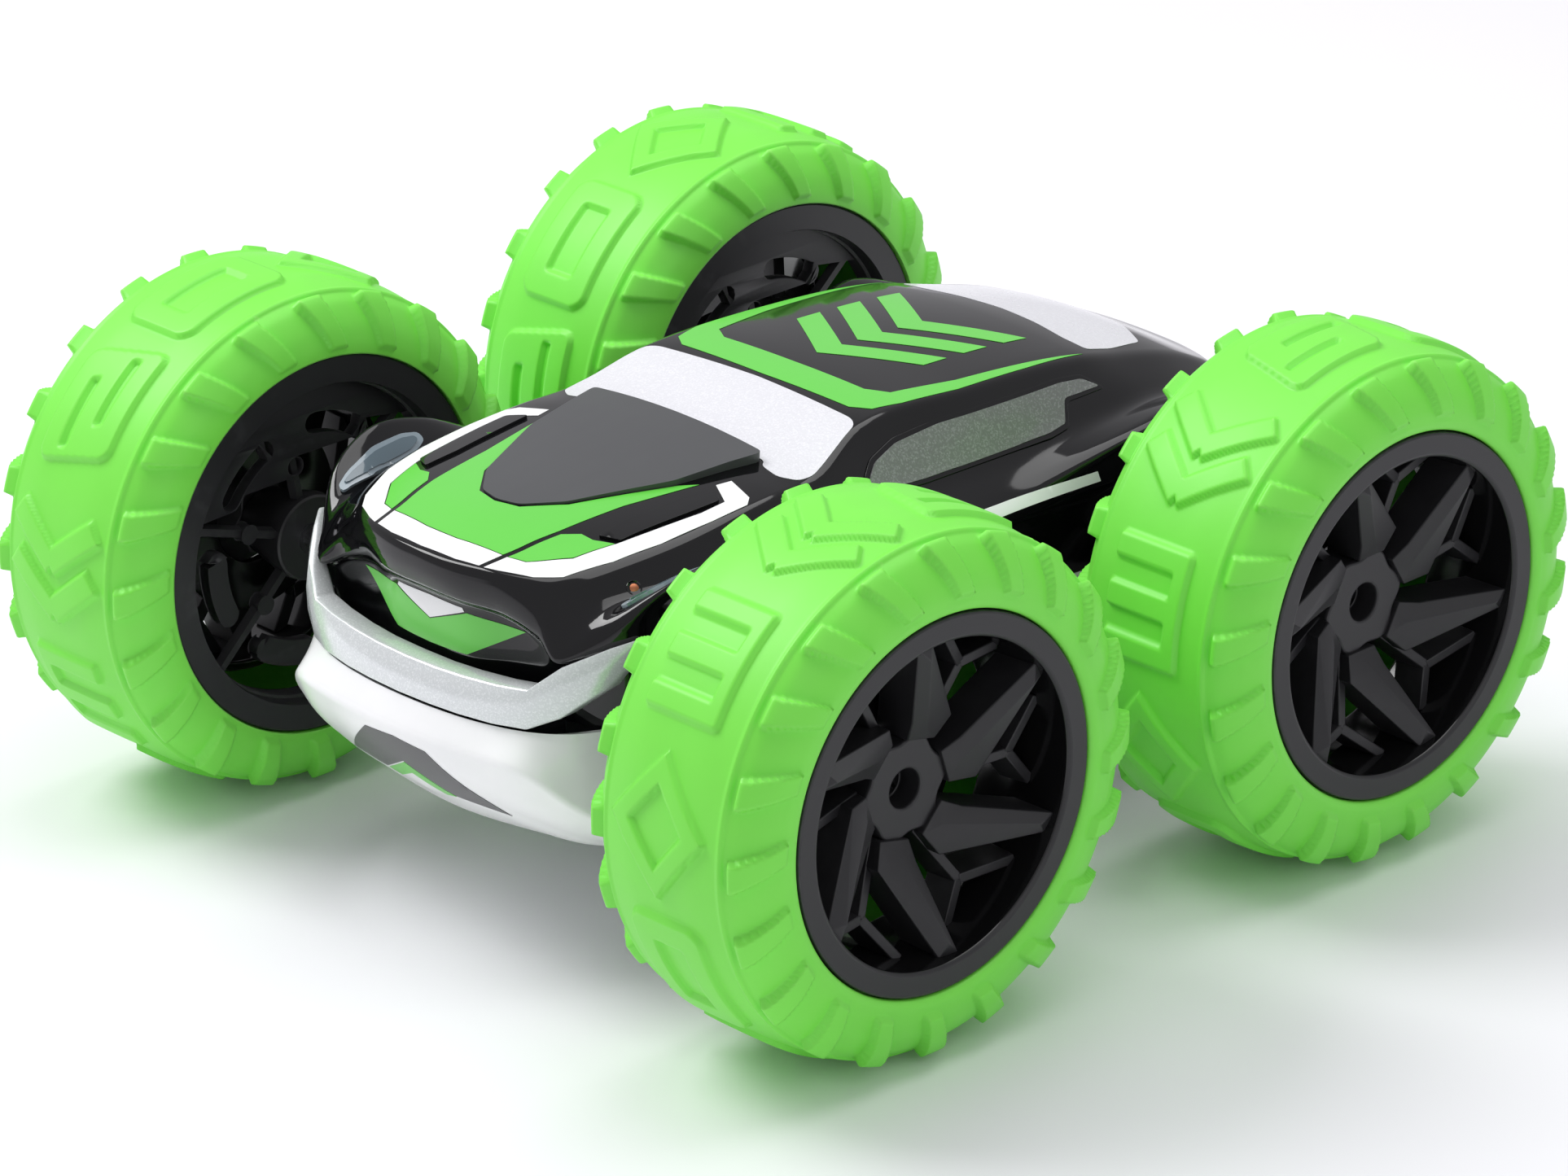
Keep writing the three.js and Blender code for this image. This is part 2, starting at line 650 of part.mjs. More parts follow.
function batteryPack() {
  const half = CELL_LENGTH / 2;
  const cells = [-8, 8].map((x) => {
    const cell = alongX(circle(CELL_R, 16), -half, half).rotate([0, 0, 90]);
    return moved(cell, x, 0, -17.6);
  });
  const wrap = box(-12, 12, 0.4 - half, half - 0.4, -24.9, -11.1);
  return union([...cells, wrap]);
}

function chassisFrame() {
  const plate = box(-22.6, 22.6, -70, 74, FRAME_Z[0], FRAME_Z[1]);
  const posts = [];
  for (const y of [-66, 70]) {
    for (const x of [-18, 18]) {
      posts.push(alongZ(circle(2.6, 10, x, y), -20, FRAME_Z[1] + 14));
    }
  }
  const [motorY, motorZ] = pinionCentre(1);
  const seat = motorZ - MOTOR_FLAT - GAP;
  const cradles = [1, -1].map((side) => {
    const y = side * motorY;
    const block = box(2, 20, y - 7, y + 7, FRAME_Z[1] - 0.5, seat);
    return flipped(block, side);
  });
  return union([plate, ...posts, ...cradles]);
}

function circuitBoard() {
  const board = box(-16, 16, -60, -34, 1, 2.6);
  const parts = [
    box(-9, -1, -52, -44, 2.2, 4.4),
    box(4, 12, -56, -51, 2.2, 6.5),
    box(4, 9, -45, -40, 2.2, 4),
    box(-13, -10.5, -40, -36, 2.2, 8),
  ];
  const feet = [-13, 13].map((x) => box(x - 1.5, x + 1.5, -48, -45, FRAME_Z[1] + GAP, 1.4));
  return union([board, ...parts, ...feet]);
}

function powerSwitch() {
  const knob = box(-2.6, 2.6, SWITCH_Y, SWITCH_Y + 4.4, -36.6, -29);
  const slider = box(-5.2, 5.2, SWITCH_Y - 3, SWITCH_Y + 7.4, -30.4, -29);
  return knob.add(slider);
}

function switchBody() {
  const can = box(-7, 7, SWITCH_Y - 5, SWITCH_Y + 13, -28.7, -22);
  const legs = [-4, 0, 4].map((x) => box(x - 0.6, x + 0.6, SWITCH_Y + 3.4, SWITCH_Y + 4.4, -22.5, -18.5));
  return union([can, ...legs]);
}

function buildBody() {
  const whole = hollowBody(UPPER_RIBS);
  add('upper_shell', shaped(upperShell(whole)), plastic(0x0c0d0e, 0.12));
  add('lower_shell', shaped(lowerShell()), plastic(WHITE, 0.25));
  add('front_bumper', shaped(band()), plastic(0xdfe5e4, 0.22));
  add('rear_bumper', shaped(band().mirror([0, 1, 0])), plastic(0xdfe5e4, 0.22));
  add('bonnet_scoop', shaped(scoop()), plastic(0x515356, 0.45));
  for (const [tag, side] of [['left', 1], ['right', -1]]) {
    const pane = whole.intersect(flipped(windowBlock(-GAP), side));
    const lens = whole.intersect(flipped(lampBlock(-GAP), side));
    add(`side_window_${tag}`, shaped(pane), plastic(0x8d8f90, 0.45));
    add(`headlamp_${tag}`, shaped(lens), plastic(0x9fb0b6, 0.1));
  }
}

function buildInside() {
  add('chassis_frame', shaped(chassisFrame()), plastic(0x2a2c2e, 0.6));
  add('battery_pack', shaped(batteryPack()), plastic(0x2f6fb0, 0.4));
  add('battery_door', shaped(batteryDoor()), plastic(0xdde1e1, 0.35));
  add('circuit_board', shaped(circuitBoard()), plastic(0x1f6b3a, 0.5));
  add('power_switch', shaped(powerSwitch()), plastic(0x202224, 0.5));
  add('switch_body', shaped(switchBody()), metal(0x9a9c9e, 0.4));
}

buildWheel('fl', 1, -HALF_BASE);
buildWheel('fr', -1, -HALF_BASE);
buildWheel('rl', 1, HALF_BASE);
buildWheel('rr', -1, HALF_BASE);
buildDrive('left', 1, 1);
buildDrive('right', -1, -1);
buildBody();
buildInside();

export default car;
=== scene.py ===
# %% [markdown]
# # RC stunt car
# A two-sided stunt car: four fat soft tyres round a low body. The moving frame comes from a CAD
# model in metres, +Z up, nose toward -Y, the car's left side toward +X. Everything here is skin:
# finer meshes and finishes that ride on the CAD bodies, so each wheel still turns on its own axle.

# %% Load the frame
import math

import bmesh
import bpy
import numpy as np
from mathutils import Matrix, Vector
from mathutils.bvhtree import BVHTree
from mathutils.geometry import delaunay_2d_cdt


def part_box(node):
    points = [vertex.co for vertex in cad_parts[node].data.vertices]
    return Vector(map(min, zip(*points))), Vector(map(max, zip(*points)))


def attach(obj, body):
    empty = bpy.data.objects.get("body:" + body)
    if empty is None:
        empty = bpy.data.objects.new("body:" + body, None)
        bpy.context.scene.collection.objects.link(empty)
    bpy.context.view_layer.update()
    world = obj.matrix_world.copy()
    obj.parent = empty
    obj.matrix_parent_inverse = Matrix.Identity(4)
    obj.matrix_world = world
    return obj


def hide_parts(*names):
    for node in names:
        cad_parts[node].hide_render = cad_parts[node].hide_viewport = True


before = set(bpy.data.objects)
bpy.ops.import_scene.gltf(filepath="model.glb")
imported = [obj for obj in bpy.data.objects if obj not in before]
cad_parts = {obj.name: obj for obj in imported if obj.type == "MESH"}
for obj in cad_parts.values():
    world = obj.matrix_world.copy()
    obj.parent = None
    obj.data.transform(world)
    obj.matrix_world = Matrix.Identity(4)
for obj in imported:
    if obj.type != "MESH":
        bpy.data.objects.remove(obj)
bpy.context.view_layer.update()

# %% [markdown]
# ## Working in millimetres from the axle line
# A toy this size is easiest to draw in millimetres, with heights counted from the axle line,
# because both faces of the body are laid out from it. One matrix turns those drawings into metres
# in the shared frame. The wheel centres are read from the imported tyres, so nothing is typed twice.

# %% Millimetres and wheel places
MM = 0.001
WHEELS = {"fl": (1, -1), "fr": (-1, -1), "rl": (1, 1), "rr": (-1, 1)}


def middle(node):
    low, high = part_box(node)
    return (low + high) / 2


AXLE_HEIGHT = middle("tyre_fl").z
HALF_BASE = middle("tyre_rl").y
WHEEL_X = middle("tyre_fl").x
DRAWING = Matrix.Translation((0, 0, AXLE_HEIGHT)) @ Matrix.Scale(MM, 4)
print("axle height, half wheelbase, half track", [round(v, 4) for v in (AXLE_HEIGHT, HALF_BASE, WHEEL_X)])

# %% Mesh helpers
def new_piece(name, points, faces, materials, place=DRAWING, smooth=True):
    """A mesh object from a drawing in millimetres, moved into the frame by place."""
    mesh = bpy.data.meshes.new(name)
    mesh.from_pydata([tuple(p) for p in points], [], faces)
    mesh.transform(place)
    tools = bmesh.new()
    tools.from_mesh(mesh)
    bmesh.ops.recalc_face_normals(tools, faces=tools.faces)
    tools.to_mesh(mesh)
    tools.free()
    mesh.polygons.foreach_set("use_smooth", [smooth] * len(mesh.polygons))
    for material in materials:
        mesh.materials.append(material)
    piece = bpy.data.objects.new(name, mesh)
    bpy.context.scene.collection.objects.link(piece)
    return piece


def place_piece(piece, body, slot, *replaced):
    """Ride on a body and stand for CAD nodes; slot is not used."""
    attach(piece, body)
    if replaced:
        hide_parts(*replaced)
    return piece


def modifier(piece, kind, **values):
    made = piece.modifiers.new(kind.title(), kind)
    for key, value in values.items():
        setattr(made, key, value)
    return made


def round_edges(piece, width, segments=2, angle=28):
    """Small moulded radii, which catch the light along every edge."""
    modifier(piece, "BEVEL", width=width * MM, segments=segments, limit_method="ANGLE",
             angle_limit=math.radians(angle), harden_normals=False, use_clamp_overlap=True)


def sharp_shading(piece, angle=35):
    """Smooth shading that still breaks at real corners."""
    mesh = piece.data
    mesh.polygons.foreach_set("use_smooth", [True] * len(mesh.polygons))
    mesh.set_sharp_from_angle(angle=math.radians(angle))


def finished_mesh(piece):
    """Bakes the modifiers in, so that later pieces can be laid on the real surface."""
    graph = bpy.context.evaluated_depsgraph_get()
    mesh = bpy.data.meshes.new_from_object(piece.evaluated_get(graph))
    piece.modifiers.clear()
    piece.data = mesh
    piece.data.polygons.foreach_set("use_smooth", [True] * len(piece.data.polygons))
    return piece


class Drawing:
    """Collects closed shapes in one list of points and faces."""

    def __init__(self):
        self.points = []
        self.faces = []
        self.finish = []

    def add(self, points, faces, finish=0):
        first = len(self.points)
        self.points.extend(points)
        self.faces.extend([tuple(first + i for i in face) for face in faces])
        self.finish.extend([finish] * len(faces))

    def piece(self, name, materials, place=DRAWING, smooth=True):
        made = new_piece(name, self.points, self.faces, materials, place, smooth)
        made.data.polygons.foreach_set("material_index", self.finish)
        return made


def loft(rings, closed=False):
    """Faces between rings of equal length, capped at the ends unless the rings close on themselves."""
    count = len(rings[0])
    points = [p for ring in rings for p in ring]
    faces = []
    turns = len(rings) if closed else len(rings) - 1
    for i in range(turns):
        here, there = i * count, ((i + 1) % len(rings)) * count
        for k in range(count):
            up = (k + 1) % count
            faces.append((here + k, there + k, there + up, here + up))
    if not closed:
        last = (len(rings) - 1) * count
        faces.append(tuple(range(count)))
        faces.append(tuple(last + k for k in reversed(range(count))))
    return points, faces


def lathe(profile, columns):
    """A closed profile of (offset, radius) turned about the wheel axis X."""
    rings = []
    for column in range(columns):
        turn = 2 * math.pi * column / columns
        rings.append([(x, r * math.cos(turn), r * math.sin(turn)) for x, r in profile])
    return loft(rings, closed=True)


def smooth_line(knots, steps):
    """Points on a Catmull-Rom curve through the knots, with a number of steps per stretch."""
    knots = [np.array(k, float) for k in knots]
    line = [knots[0]]
    for i in range(len(knots) - 1):
        before = knots[max(i - 1, 0)]
        start, end = knots[i], knots[i + 1]
        after = knots[min(i + 2, len(knots) - 1)]
        count = steps[i] if isinstance(steps, (list, tuple)) else steps
        for k in range(1, count + 1):
            t = k / count
            line.append(0.5 * (2 * start + (end - before) * t
                               + (2 * before - 5 * start + 4 * end - after) * t * t
                               + (3 * start - before - 3 * end + after) * t ** 3))
    return line


# %% [markdown]
# ## Finishes
# Injection-moulded plastic never has one flat colour: the mould leaves a fine grain, hands leave
# smoother and duller patches, and edges wear paler. These effects are shared by many materials, so
# each one is a node group with named sockets. The Principled shader stays in the material, because
# the model's export can only read it there.

# %% Node helpers
def paint(red, green, blue):
    """A colour picked on a screen, 0 to 255, as the linear values that the shader needs."""
    def straight(value):
        value /= 255
        return value / 12.92 if value <= 0.04045 else ((value + 0.055) / 1.055) ** 2.4
    return (straight(red), straight(green), straight(blue), 1.0)


def put(tree, kind, values=(), **settings):
    """Adds a node; values is a list of (socket, value or linked output)."""
    node = tree.nodes.new(kind)
    for key, value in settings.items():
        setattr(node, key, value)
    for socket, value in values:
        if isinstance(value, bpy.types.NodeSocket):
            tree.links.new(value, node.inputs[socket])
        else:
            node.inputs[socket].default_value = value
    return node


def new_group(name, inputs, outputs):
    """An empty shader group with float or colour sockets."""
    tree = bpy.data.node_groups.new(name, "ShaderNodeTree")
    for label, value in inputs:
        kind = "NodeSocketFloat" if isinstance(value, (int, float)) else "NodeSocketColor"
        socket = tree.interface.new_socket(label, in_out="INPUT", socket_type=kind)
        socket.default_value = value
    for label, kind in outputs:
        tree.interface.new_socket(label, in_out="OUTPUT", socket_type=kind)
    return tree, tree.nodes.new("NodeGroupInput"), tree.nodes.new("NodeGroupOutput")


def use(tree, group, values=()):
    node = put(tree, "ShaderNodeGroup", node_tree=group)
    for socket, value in values:
        if isinstance(value, bpy.types.NodeSocket):
            tree.links.new(value, node.inputs[socket])
        else:
            node.inputs[socket].default_value = value
    return node


# %% Group: moulded grain
def build_grain():
    """A fine spark-eroded texture plus the faint waviness of a thin moulding."""
    tree, start, end = new_group("Moulded grain", [("Cells per metre", 2500.0), ("Waviness", 0.3)],
                                 [("Height", "NodeSocketFloat")])
    place = put(tree, "ShaderNodeTexCoord").outputs["Object"]
    fine = put(tree, "ShaderNodeTexNoise", [("Vector", place), ("Scale", start.outputs[0]), ("Detail", 3.0)])
    wide = put(tree, "ShaderNodeTexNoise", [("Vector", place), ("Scale", 60.0), ("Detail", 1.0)])
    wave = put(tree, "ShaderNodeMath", [(0, wide.outputs[0]), (1, start.outputs[1])], operation="MULTIPLY")
    both = put(tree, "ShaderNodeMath", [(0, fine.outputs[0]), (1, wave.outputs[0])], operation="ADD")
    tree.links.new(both.outputs[0], end.inputs[0])
    return tree


GRAIN = build_grain()


# %% Group: handled surface
def build_handling():
    """Roughness that varies where hands have polished the plastic or left a dull smear."""
    tree, start, end = new_group("Handled surface", [("Roughness", 0.3), ("Spread", 0.08)],
                                 [("Roughness", "NodeSocketFloat"), ("Smear", "NodeSocketFloat")])
    place = put(tree, "ShaderNodeTexCoord").outputs["Object"]
    smear = put(tree, "ShaderNodeTexNoise", [("Vector", place), ("Scale", 45.0), ("Detail", 5.0),
                                             ("Roughness", 0.65)])
    centred = put(tree, "ShaderNodeMath", [(0, smear.outputs[0]), (1, 0.5)], operation="SUBTRACT")
    spread = put(tree, "ShaderNodeMath", [(0, centred.outputs[0]), (1, start.outputs[1])],
                 operation="MULTIPLY")
    level = put(tree, "ShaderNodeMath", [(0, spread.outputs[0]), (1, start.outputs[0])], operation="ADD",
                use_clamp=True)
    tree.links.new(level.outputs[0], end.inputs[0])
    tree.links.new(smear.outputs[0], end.inputs[1])
    return tree


HANDLING = build_handling()


# %% Group: edge wear
def build_edge_wear():
    """A mask on convex edges, broken up by noise, where paint and plastic rub pale."""
    tree, start, end = new_group("Edge wear", [("Amount", 0.5)], [("Mask", "NodeSocketFloat")])
    bend = put(tree, "ShaderNodeNewGeometry").outputs["Pointiness"]
    edge = put(tree, "ShaderNodeMapRange", [("Value", bend), ("From Min", 0.53), ("From Max", 0.62)])
    place = put(tree, "ShaderNodeTexCoord").outputs["Object"]
    rub = put(tree, "ShaderNodeTexNoise", [("Vector", place), ("Scale", 420.0), ("Detail", 4.0)])
    broken = put(tree, "ShaderNodeMapRange", [("Value", rub.outputs[0]), ("From Min", 0.42),
                                              ("From Max", 0.7)])
    mask = put(tree, "ShaderNodeMath", [(0, edge.outputs[0]), (1, broken.outputs[0])], operation="MULTIPLY")
    scaled = put(tree, "ShaderNodeMath", [(0, mask.outputs[0]), (1, start.outputs[0])], operation="MULTIPLY")
    tree.links.new(scaled.outputs[0], end.inputs[0])
    return tree


EDGE_WEAR = build_edge_wear()


# %% Group: metal flake
def build_flake():
    """Small bright specks in a lacquer, for the silver-grey side windows and the bumper."""
    tree, start, end = new_group("Metal flake",
                                 [("Flakes per metre", 1800.0), ("Dark", (0.2, 0.2, 0.2, 1)),
                                  ("Bright", (0.6, 0.6, 0.6, 1))],
                                 [("Color", "NodeSocketColor"), ("Speck", "NodeSocketFloat")])
    place = put(tree, "ShaderNodeTexCoord").outputs["Object"]
    cells = put(tree, "ShaderNodeTexVoronoi", [("Vector", place), ("Scale", start.outputs[0])])
    value = put(tree, "ShaderNodeSeparateColor", [(0, cells.outputs["Color"])])
    speck = put(tree, "ShaderNodeMapRange", [("Value", value.outputs[0]), ("From Min", 0.55),
                                             ("From Max", 1.0)])
    mixed = put(tree, "ShaderNodeMix", [(0, speck.outputs[0]), (6, start.outputs[1]), (7, start.outputs[2])],
                data_type="RGBA")
    tree.links.new(mixed.outputs[2], end.inputs[0])
    tree.links.new(speck.outputs[0], end.inputs[1])
    return tree


FLAKE = build_flake()


# %% A moulded plastic, the parent of most finishes
def blank_material(name):
    material = bpy.data.materials.new(name)
    material.use_nodes = True
    return material, material.node_tree, material.node_tree.nodes["Principled BSDF"]


def moulded(name, colour, roughness, spread=0.08, grain=2500.0, depth=0.004, wavy=0.3, worn=None,
            wear=0.4, tint=0.06, metallic=0.0, **shader):
    """Plastic, rubber or metal with grain, handling and worn edges. depth is in millimetres."""
    material, tree, bsdf = blank_material(name)
    handled = use(tree, HANDLING, [("Roughness", roughness), ("Spread", spread)])
    tree.links.new(handled.outputs["Roughness"], bsdf.inputs["Roughness"])
    lighter = tuple(min(1.0, c * (1 + tint) + tint * 0.02) for c in colour[:3]) + (1,)
    darker = tuple(c * (1 - tint) for c in colour[:3]) + (1,)
    shade = put(tree, "ShaderNodeMix", [(0, handled.outputs["Smear"]), (6, darker), (7, lighter)],
                data_type="RGBA")
    edge = use(tree, EDGE_WEAR, [("Amount", wear)])
    pale = worn or tuple(min(1.0, c * 1.5 + 0.02) for c in colour[:3]) + (1,)
    rubbed = put(tree, "ShaderNodeMix", [(0, edge.outputs[0]), (6, shade.outputs[2]), (7, pale)],
                 data_type="RGBA")
    tree.links.new(rubbed.outputs[2], bsdf.inputs["Base Color"])
    height = use(tree, GRAIN, [("Cells per metre", grain), ("Waviness", wavy)])
    bump = put(tree, "ShaderNodeBump", [("Height", height.outputs[0]), ("Distance", depth * MM),
                                        ("Strength", 1.0)])
    tree.links.new(bump.outputs[0], bsdf.inputs["Normal"])
    bsdf.inputs["Metallic"].default_value = metallic
    for key, value in shader.items():
        bsdf.inputs[key.replace("_", " ")].default_value = value
    return material


# %% Body and wheel finishes
TYRE_GREEN = paint(124, 229, 76)
DECAL_GREEN = paint(100, 205, 72)
rubber = moulded("green soft rubber", TYRE_GREEN, 0.46, 0.12, 900.0, 0.012, 0.5, worn=paint(176, 240, 132),
                 wear=0.6, tint=0.05, Subsurface_Weight=0.08, Subsurface_Scale=0.0015,
                 Subsurface_Radius=(0.6, 1.0, 0.4))
rim_satin = moulded("black rim plastic, satin", paint(32, 32, 34), 0.42, 0.1, 1800.0, 0.006, wear=0.5)
rim_gloss = moulded("black rim plastic, glossy dish", paint(14, 14, 15), 0.12, 0.06, 1200.0, 0.002, wear=0.2)
shell_black = moulded("gloss black body", paint(6, 6, 8), 0.07, 0.05, 300.0, 0.0012, 0.8, wear=0.1,
                      Specular_IOR_Level=0.42, Coat_Weight=0.12, Coat_Roughness=0.03)
shell_white = moulded("gloss white body", paint(249, 250, 251), 0.2, 0.06, 300.0, 0.0012, 0.8,
                      worn=paint(205, 205, 203), wear=0.3, Coat_Weight=0.3, Coat_Roughness=0.05)
scoop_grey = moulded("matte graphite", paint(74, 75, 77), 0.38, 0.08, 2600.0, 0.006, wear=0.2)
frame_grey = moulded("dark inner plastic", paint(42, 44, 47), 0.55, 0.1, 1500.0, 0.01)
nylon = moulded("natural nylon", paint(226, 222, 206), 0.45, 0.1, 1500.0, 0.006, Subsurface_Weight=0.08,
                Subsurface_Scale=0.002)
steel = moulded("turned steel", paint(178, 180, 184), 0.3, 0.15, 4000.0, 0.003, metallic=1.0)
brass = moulded("brass", paint(205, 165, 90), 0.3, 0.12, 4000.0, 0.003, metallic=1.0)
# painted shade: the near-black colour stands in for the shade inside the deep hub hole
screw_painted_shade = moulded("near-black screw, painted shade", paint(38, 38, 40), 0.35, 0.1, 3000.0, 0.004, metallic=0.8)
copper = moulded("copper plated screw", paint(168, 108, 78), 0.3, 0.15, 4000.0, 0.003, metallic=1.0)
wrap_blue = moulded("blue shrink wrap", paint(44, 98, 175), 0.28, 0.12, 800.0, 0.01)
board = moulded("green circuit board", paint(26, 98, 52), 0.4, 0.1, 2200.0, 0.01)
print("plain finishes", len(bpy.data.materials))


# %% Lacquers with flake, and the clear headlamp
def flaked(name, dark, bright, flakes, roughness, metallic, depth=0.003):
    """Silver lacquer: the flake group gives the colour and a fine bump at each speck."""
    material, tree, bsdf = blank_material(name)
    specks = use(tree, FLAKE, [("Flakes per metre", flakes), ("Dark", dark), ("Bright", bright)])
    tree.links.new(specks.outputs["Color"], bsdf.inputs["Base Color"])
    handled = use(tree, HANDLING, [("Roughness", roughness), ("Spread", 0.08)])
    tree.links.new(handled.outputs["Roughness"], bsdf.inputs["Roughness"])
    bump = put(tree, "ShaderNodeBump", [("Height", specks.outputs["Speck"]), ("Distance", depth * MM)])
    tree.links.new(bump.outputs[0], bsdf.inputs["Normal"])
    bsdf.inputs["Metallic"].default_value = metallic
    bsdf.inputs["Coat Weight"].default_value = 0.3
    bsdf.inputs["Coat Roughness"].default_value = 0.1
    return material


window_grey = flaked("silver grey window lacquer", paint(126, 126, 127), paint(154, 154, 156), 3400.0,
                     0.4, 0.3, 0.003)
bumper_pearl = flaked("pearl white bumper", paint(218, 222, 223), paint(236, 239, 240), 4200.0, 0.2, 0.25,
                      0.0004)
foil_silver = flaked("silver foil sticker", paint(226, 226, 231), paint(238, 238, 243), 3600.0, 0.28, 0.12,
                     0.0004)


def lens_with_painted_reflection(name, deep, pale):
    """A smoked clear lens over a pale reflector, blue-grey; its colour turns paler where the surface turns
    away from view, a painted reflection.
    """
    material, tree, bsdf = blank_material(name)
    handled = use(tree, HANDLING, [("Roughness", 0.08), ("Spread", 0.05)])
    tree.links.new(handled.outputs["Roughness"], bsdf.inputs["Roughness"])
    # painted reflection: the colour is mixed toward the pale tone at grazing angles
    turned = put(tree, "ShaderNodeLayerWeight", [("Blend", 0.35)])
    tone = put(tree, "ShaderNodeMix", [(0, turned.outputs["Facing"]), (6, deep), (7, pale)], data_type="RGBA")
    tree.links.new(tone.outputs[2], bsdf.inputs["Base Color"])
    bsdf.inputs["Coat Weight"].default_value = 1.0
    bsdf.inputs["Coat Roughness"].default_value = 0.03
    return material


lens = lens_with_painted_reflection("smoked lens rim, painted reflection", paint(116, 134, 144), paint(186, 198, 204))
lens_core = lens_with_painted_reflection("smoked lens dome, painted reflection", paint(70, 90, 100), paint(128, 148, 158))


def printed(name, colour, roughness=0.3):
    """A vinyl sticker: thin, slightly orange-peeled, with a clear laminate."""
    return moulded(name, colour, roughness, 0.06, 700.0, 0.0015, 0.6, wear=0.0, tint=0.02,
                   Coat_Weight=0.3, Coat_Roughness=0.12)


sticker_green = printed("green sticker", DECAL_GREEN)
sticker_white = printed("white sticker", paint(243, 243, 244))
sticker_dark = printed("charcoal sticker", paint(58, 57, 60), 0.34)
print("finishes in all", len(bpy.data.materials))


# %% [markdown]
# ## Tyres
# The real tyre is one soft moulding: a round crown with raised tread pads, a fine mould line, and
# twenty slanted lugs per shoulder. It could be sculpted or made from hundreds of separate blocks,
# but then the pads would have gaps under them. Here it is one closed skin: a section turned about
# the axle, and a height for every point of it, so pads and lugs grow out of the rubber.

# %% Tyre section
LUGS = 20
LUG_PITCH = 2 * math.pi / LUGS
PAD_HEIGHT = 1.0
COLUMNS = 600
BEAD = {"outer": 35.3, "inner": 37.1}
CROWN = [(0, 48.95), (7.5, 48.8), (14.1, 47.9)]
SHOULDER = [(14.1, 47.9), (14.5, 47.6), (17.0, 45.9), (19.4, 42.6), (20.5, 39.4), (20.7, 37.0)]


def half_section(side, bead):
    """Crown to bead on one side, as (offset, radius) rows with even spacing."""
    crown = smooth_line(CROWN, 20)
    shoulder = smooth_line(SHOULDER, [2, 9, 10, 8, 5])
    lip = [(20.5, bead + 0.7), (20.1, bead + 0.2), (19.6, bead)]
    rows = [tuple(p) for p in crown] + [tuple(p) for p in shoulder[1:]] + lip
    return [(side * x, r) for x, r in rows]


def section_rows():
    outer = half_section(1, BEAD["outer"])
    inner = half_section(-1, BEAD["inner"])
    lining = [(18.0, BEAD["outer"]), (11.0, 45.4), (0.0, 46.4), (-11.0, 45.4), (-18.0, BEAD["inner"])]
    return list(reversed(inner))[:-1] + outer + lining


SECTION = np.array(section_rows())
OUTSIDE = len(SECTION) - 5
print("tyre section rows", len(SECTION), "of them outside", OUTSIDE)


# %% Distances for drawing tread pads
def smooth_step(low, high, value):
    t = np.clip((value - low) / (high - low), 0, 1)
    return t * t * (3 - 2 * t)


def box_distance(a, b, half_a, half_b, radius=0.0, shear=0.0):
    """Signed distance to a rounded, sheared rectangle; negative inside."""
    da = np.abs(a - shear * b) - (half_a - radius)
    db = np.abs(b) - (half_b - radius)
    away = np.hypot(np.maximum(da, 0), np.maximum(db, 0))
    return away + np.minimum(np.maximum(da, db), 0) - radius


def bar_distance(a, b, start, end, half):
    """Signed distance to a bar with flat sides between two points."""
    along = np.array([end[0] - start[0], end[1] - start[1]], float)
    length = np.hypot(*along)
    along /= length
    pa, pb = a - start[0], b - start[1]
    t = pa * along[0] + pb * along[1]
    n = -pa * along[1] + pb * along[0]
    return np.maximum(np.abs(n) - half, np.abs(t - length / 2) - length / 2)


def pad_link(a, b):
    """Rounded plate with a rectangular recess."""
    plate = box_distance(a, b, 13.2, 8.6, 3.4)
    return np.maximum(plate, -box_distance(a, b, 7.6, 3.4, 0.6))


def pad_chevron(a, b):
    """Two nested arrowheads that point along the rolling direction."""
    arms = [bar_distance(a, np.abs(b), (start, -0.5), (start - 9, 11.0), 2.5) for start in (10.5, 1.0)]
    return np.minimum(*arms)


def pad_grooves(a, b):
    """Slanted plate with two blind grooves."""
    plate = box_distance(a, b, 11.6, 8.8, 2.4, 0.24)
    groove_up = box_distance(a - 3.0, b - 3.2, 7.0, 0.95, 0.5, 0.24)
    groove_down = box_distance(a + 3.0, b + 3.2, 7.0, 0.95, 0.5, 0.24)
    return np.maximum(plate, -np.minimum(groove_up, groove_down))


def pad_stack(a, b):
    """Three cross bars with a spine on alternating sides."""
    bars = [box_distance(a - shift, b, 2.3, 8.6, 0.7) for shift in (-9.0, 0.0, 9.0)]
    spine = box_distance(a, b - 7.2, 11.2, 1.5, 0.7)
    return np.minimum.reduce(bars + [spine])


def pad_lozenge(a, b):
    """Wide diamond frame that reaches the shoulders."""
    diamond = (np.abs(a) * 0.72 + np.abs(b) * 0.86) - 9.6
    return np.maximum(diamond, 5.4 - (np.abs(a) * 0.72 + np.abs(b) * 0.86))


PADS = [pad_link, pad_grooves, pad_chevron, pad_stack, pad_lozenge]
PAD_ANGLE = 2 * math.pi / (2 * len(PADS))


def pad_mask(turn, offset):
    """1 on the raised pads of the crown, 0 between them."""
    cell = np.floor(turn / PAD_ANGLE)
    arc = ((turn / PAD_ANGLE) - cell - 0.5) * PAD_ANGLE * 49.2
    away = np.full(np.broadcast(turn, offset).shape, 9.0)
    for number, pad in enumerate(PADS):
        chosen = (cell.astype(int) % len(PADS)) == number
        away = np.where(chosen, pad(arc, offset), away)
    return 1 - smooth_step(-0.25, 0.3, away)


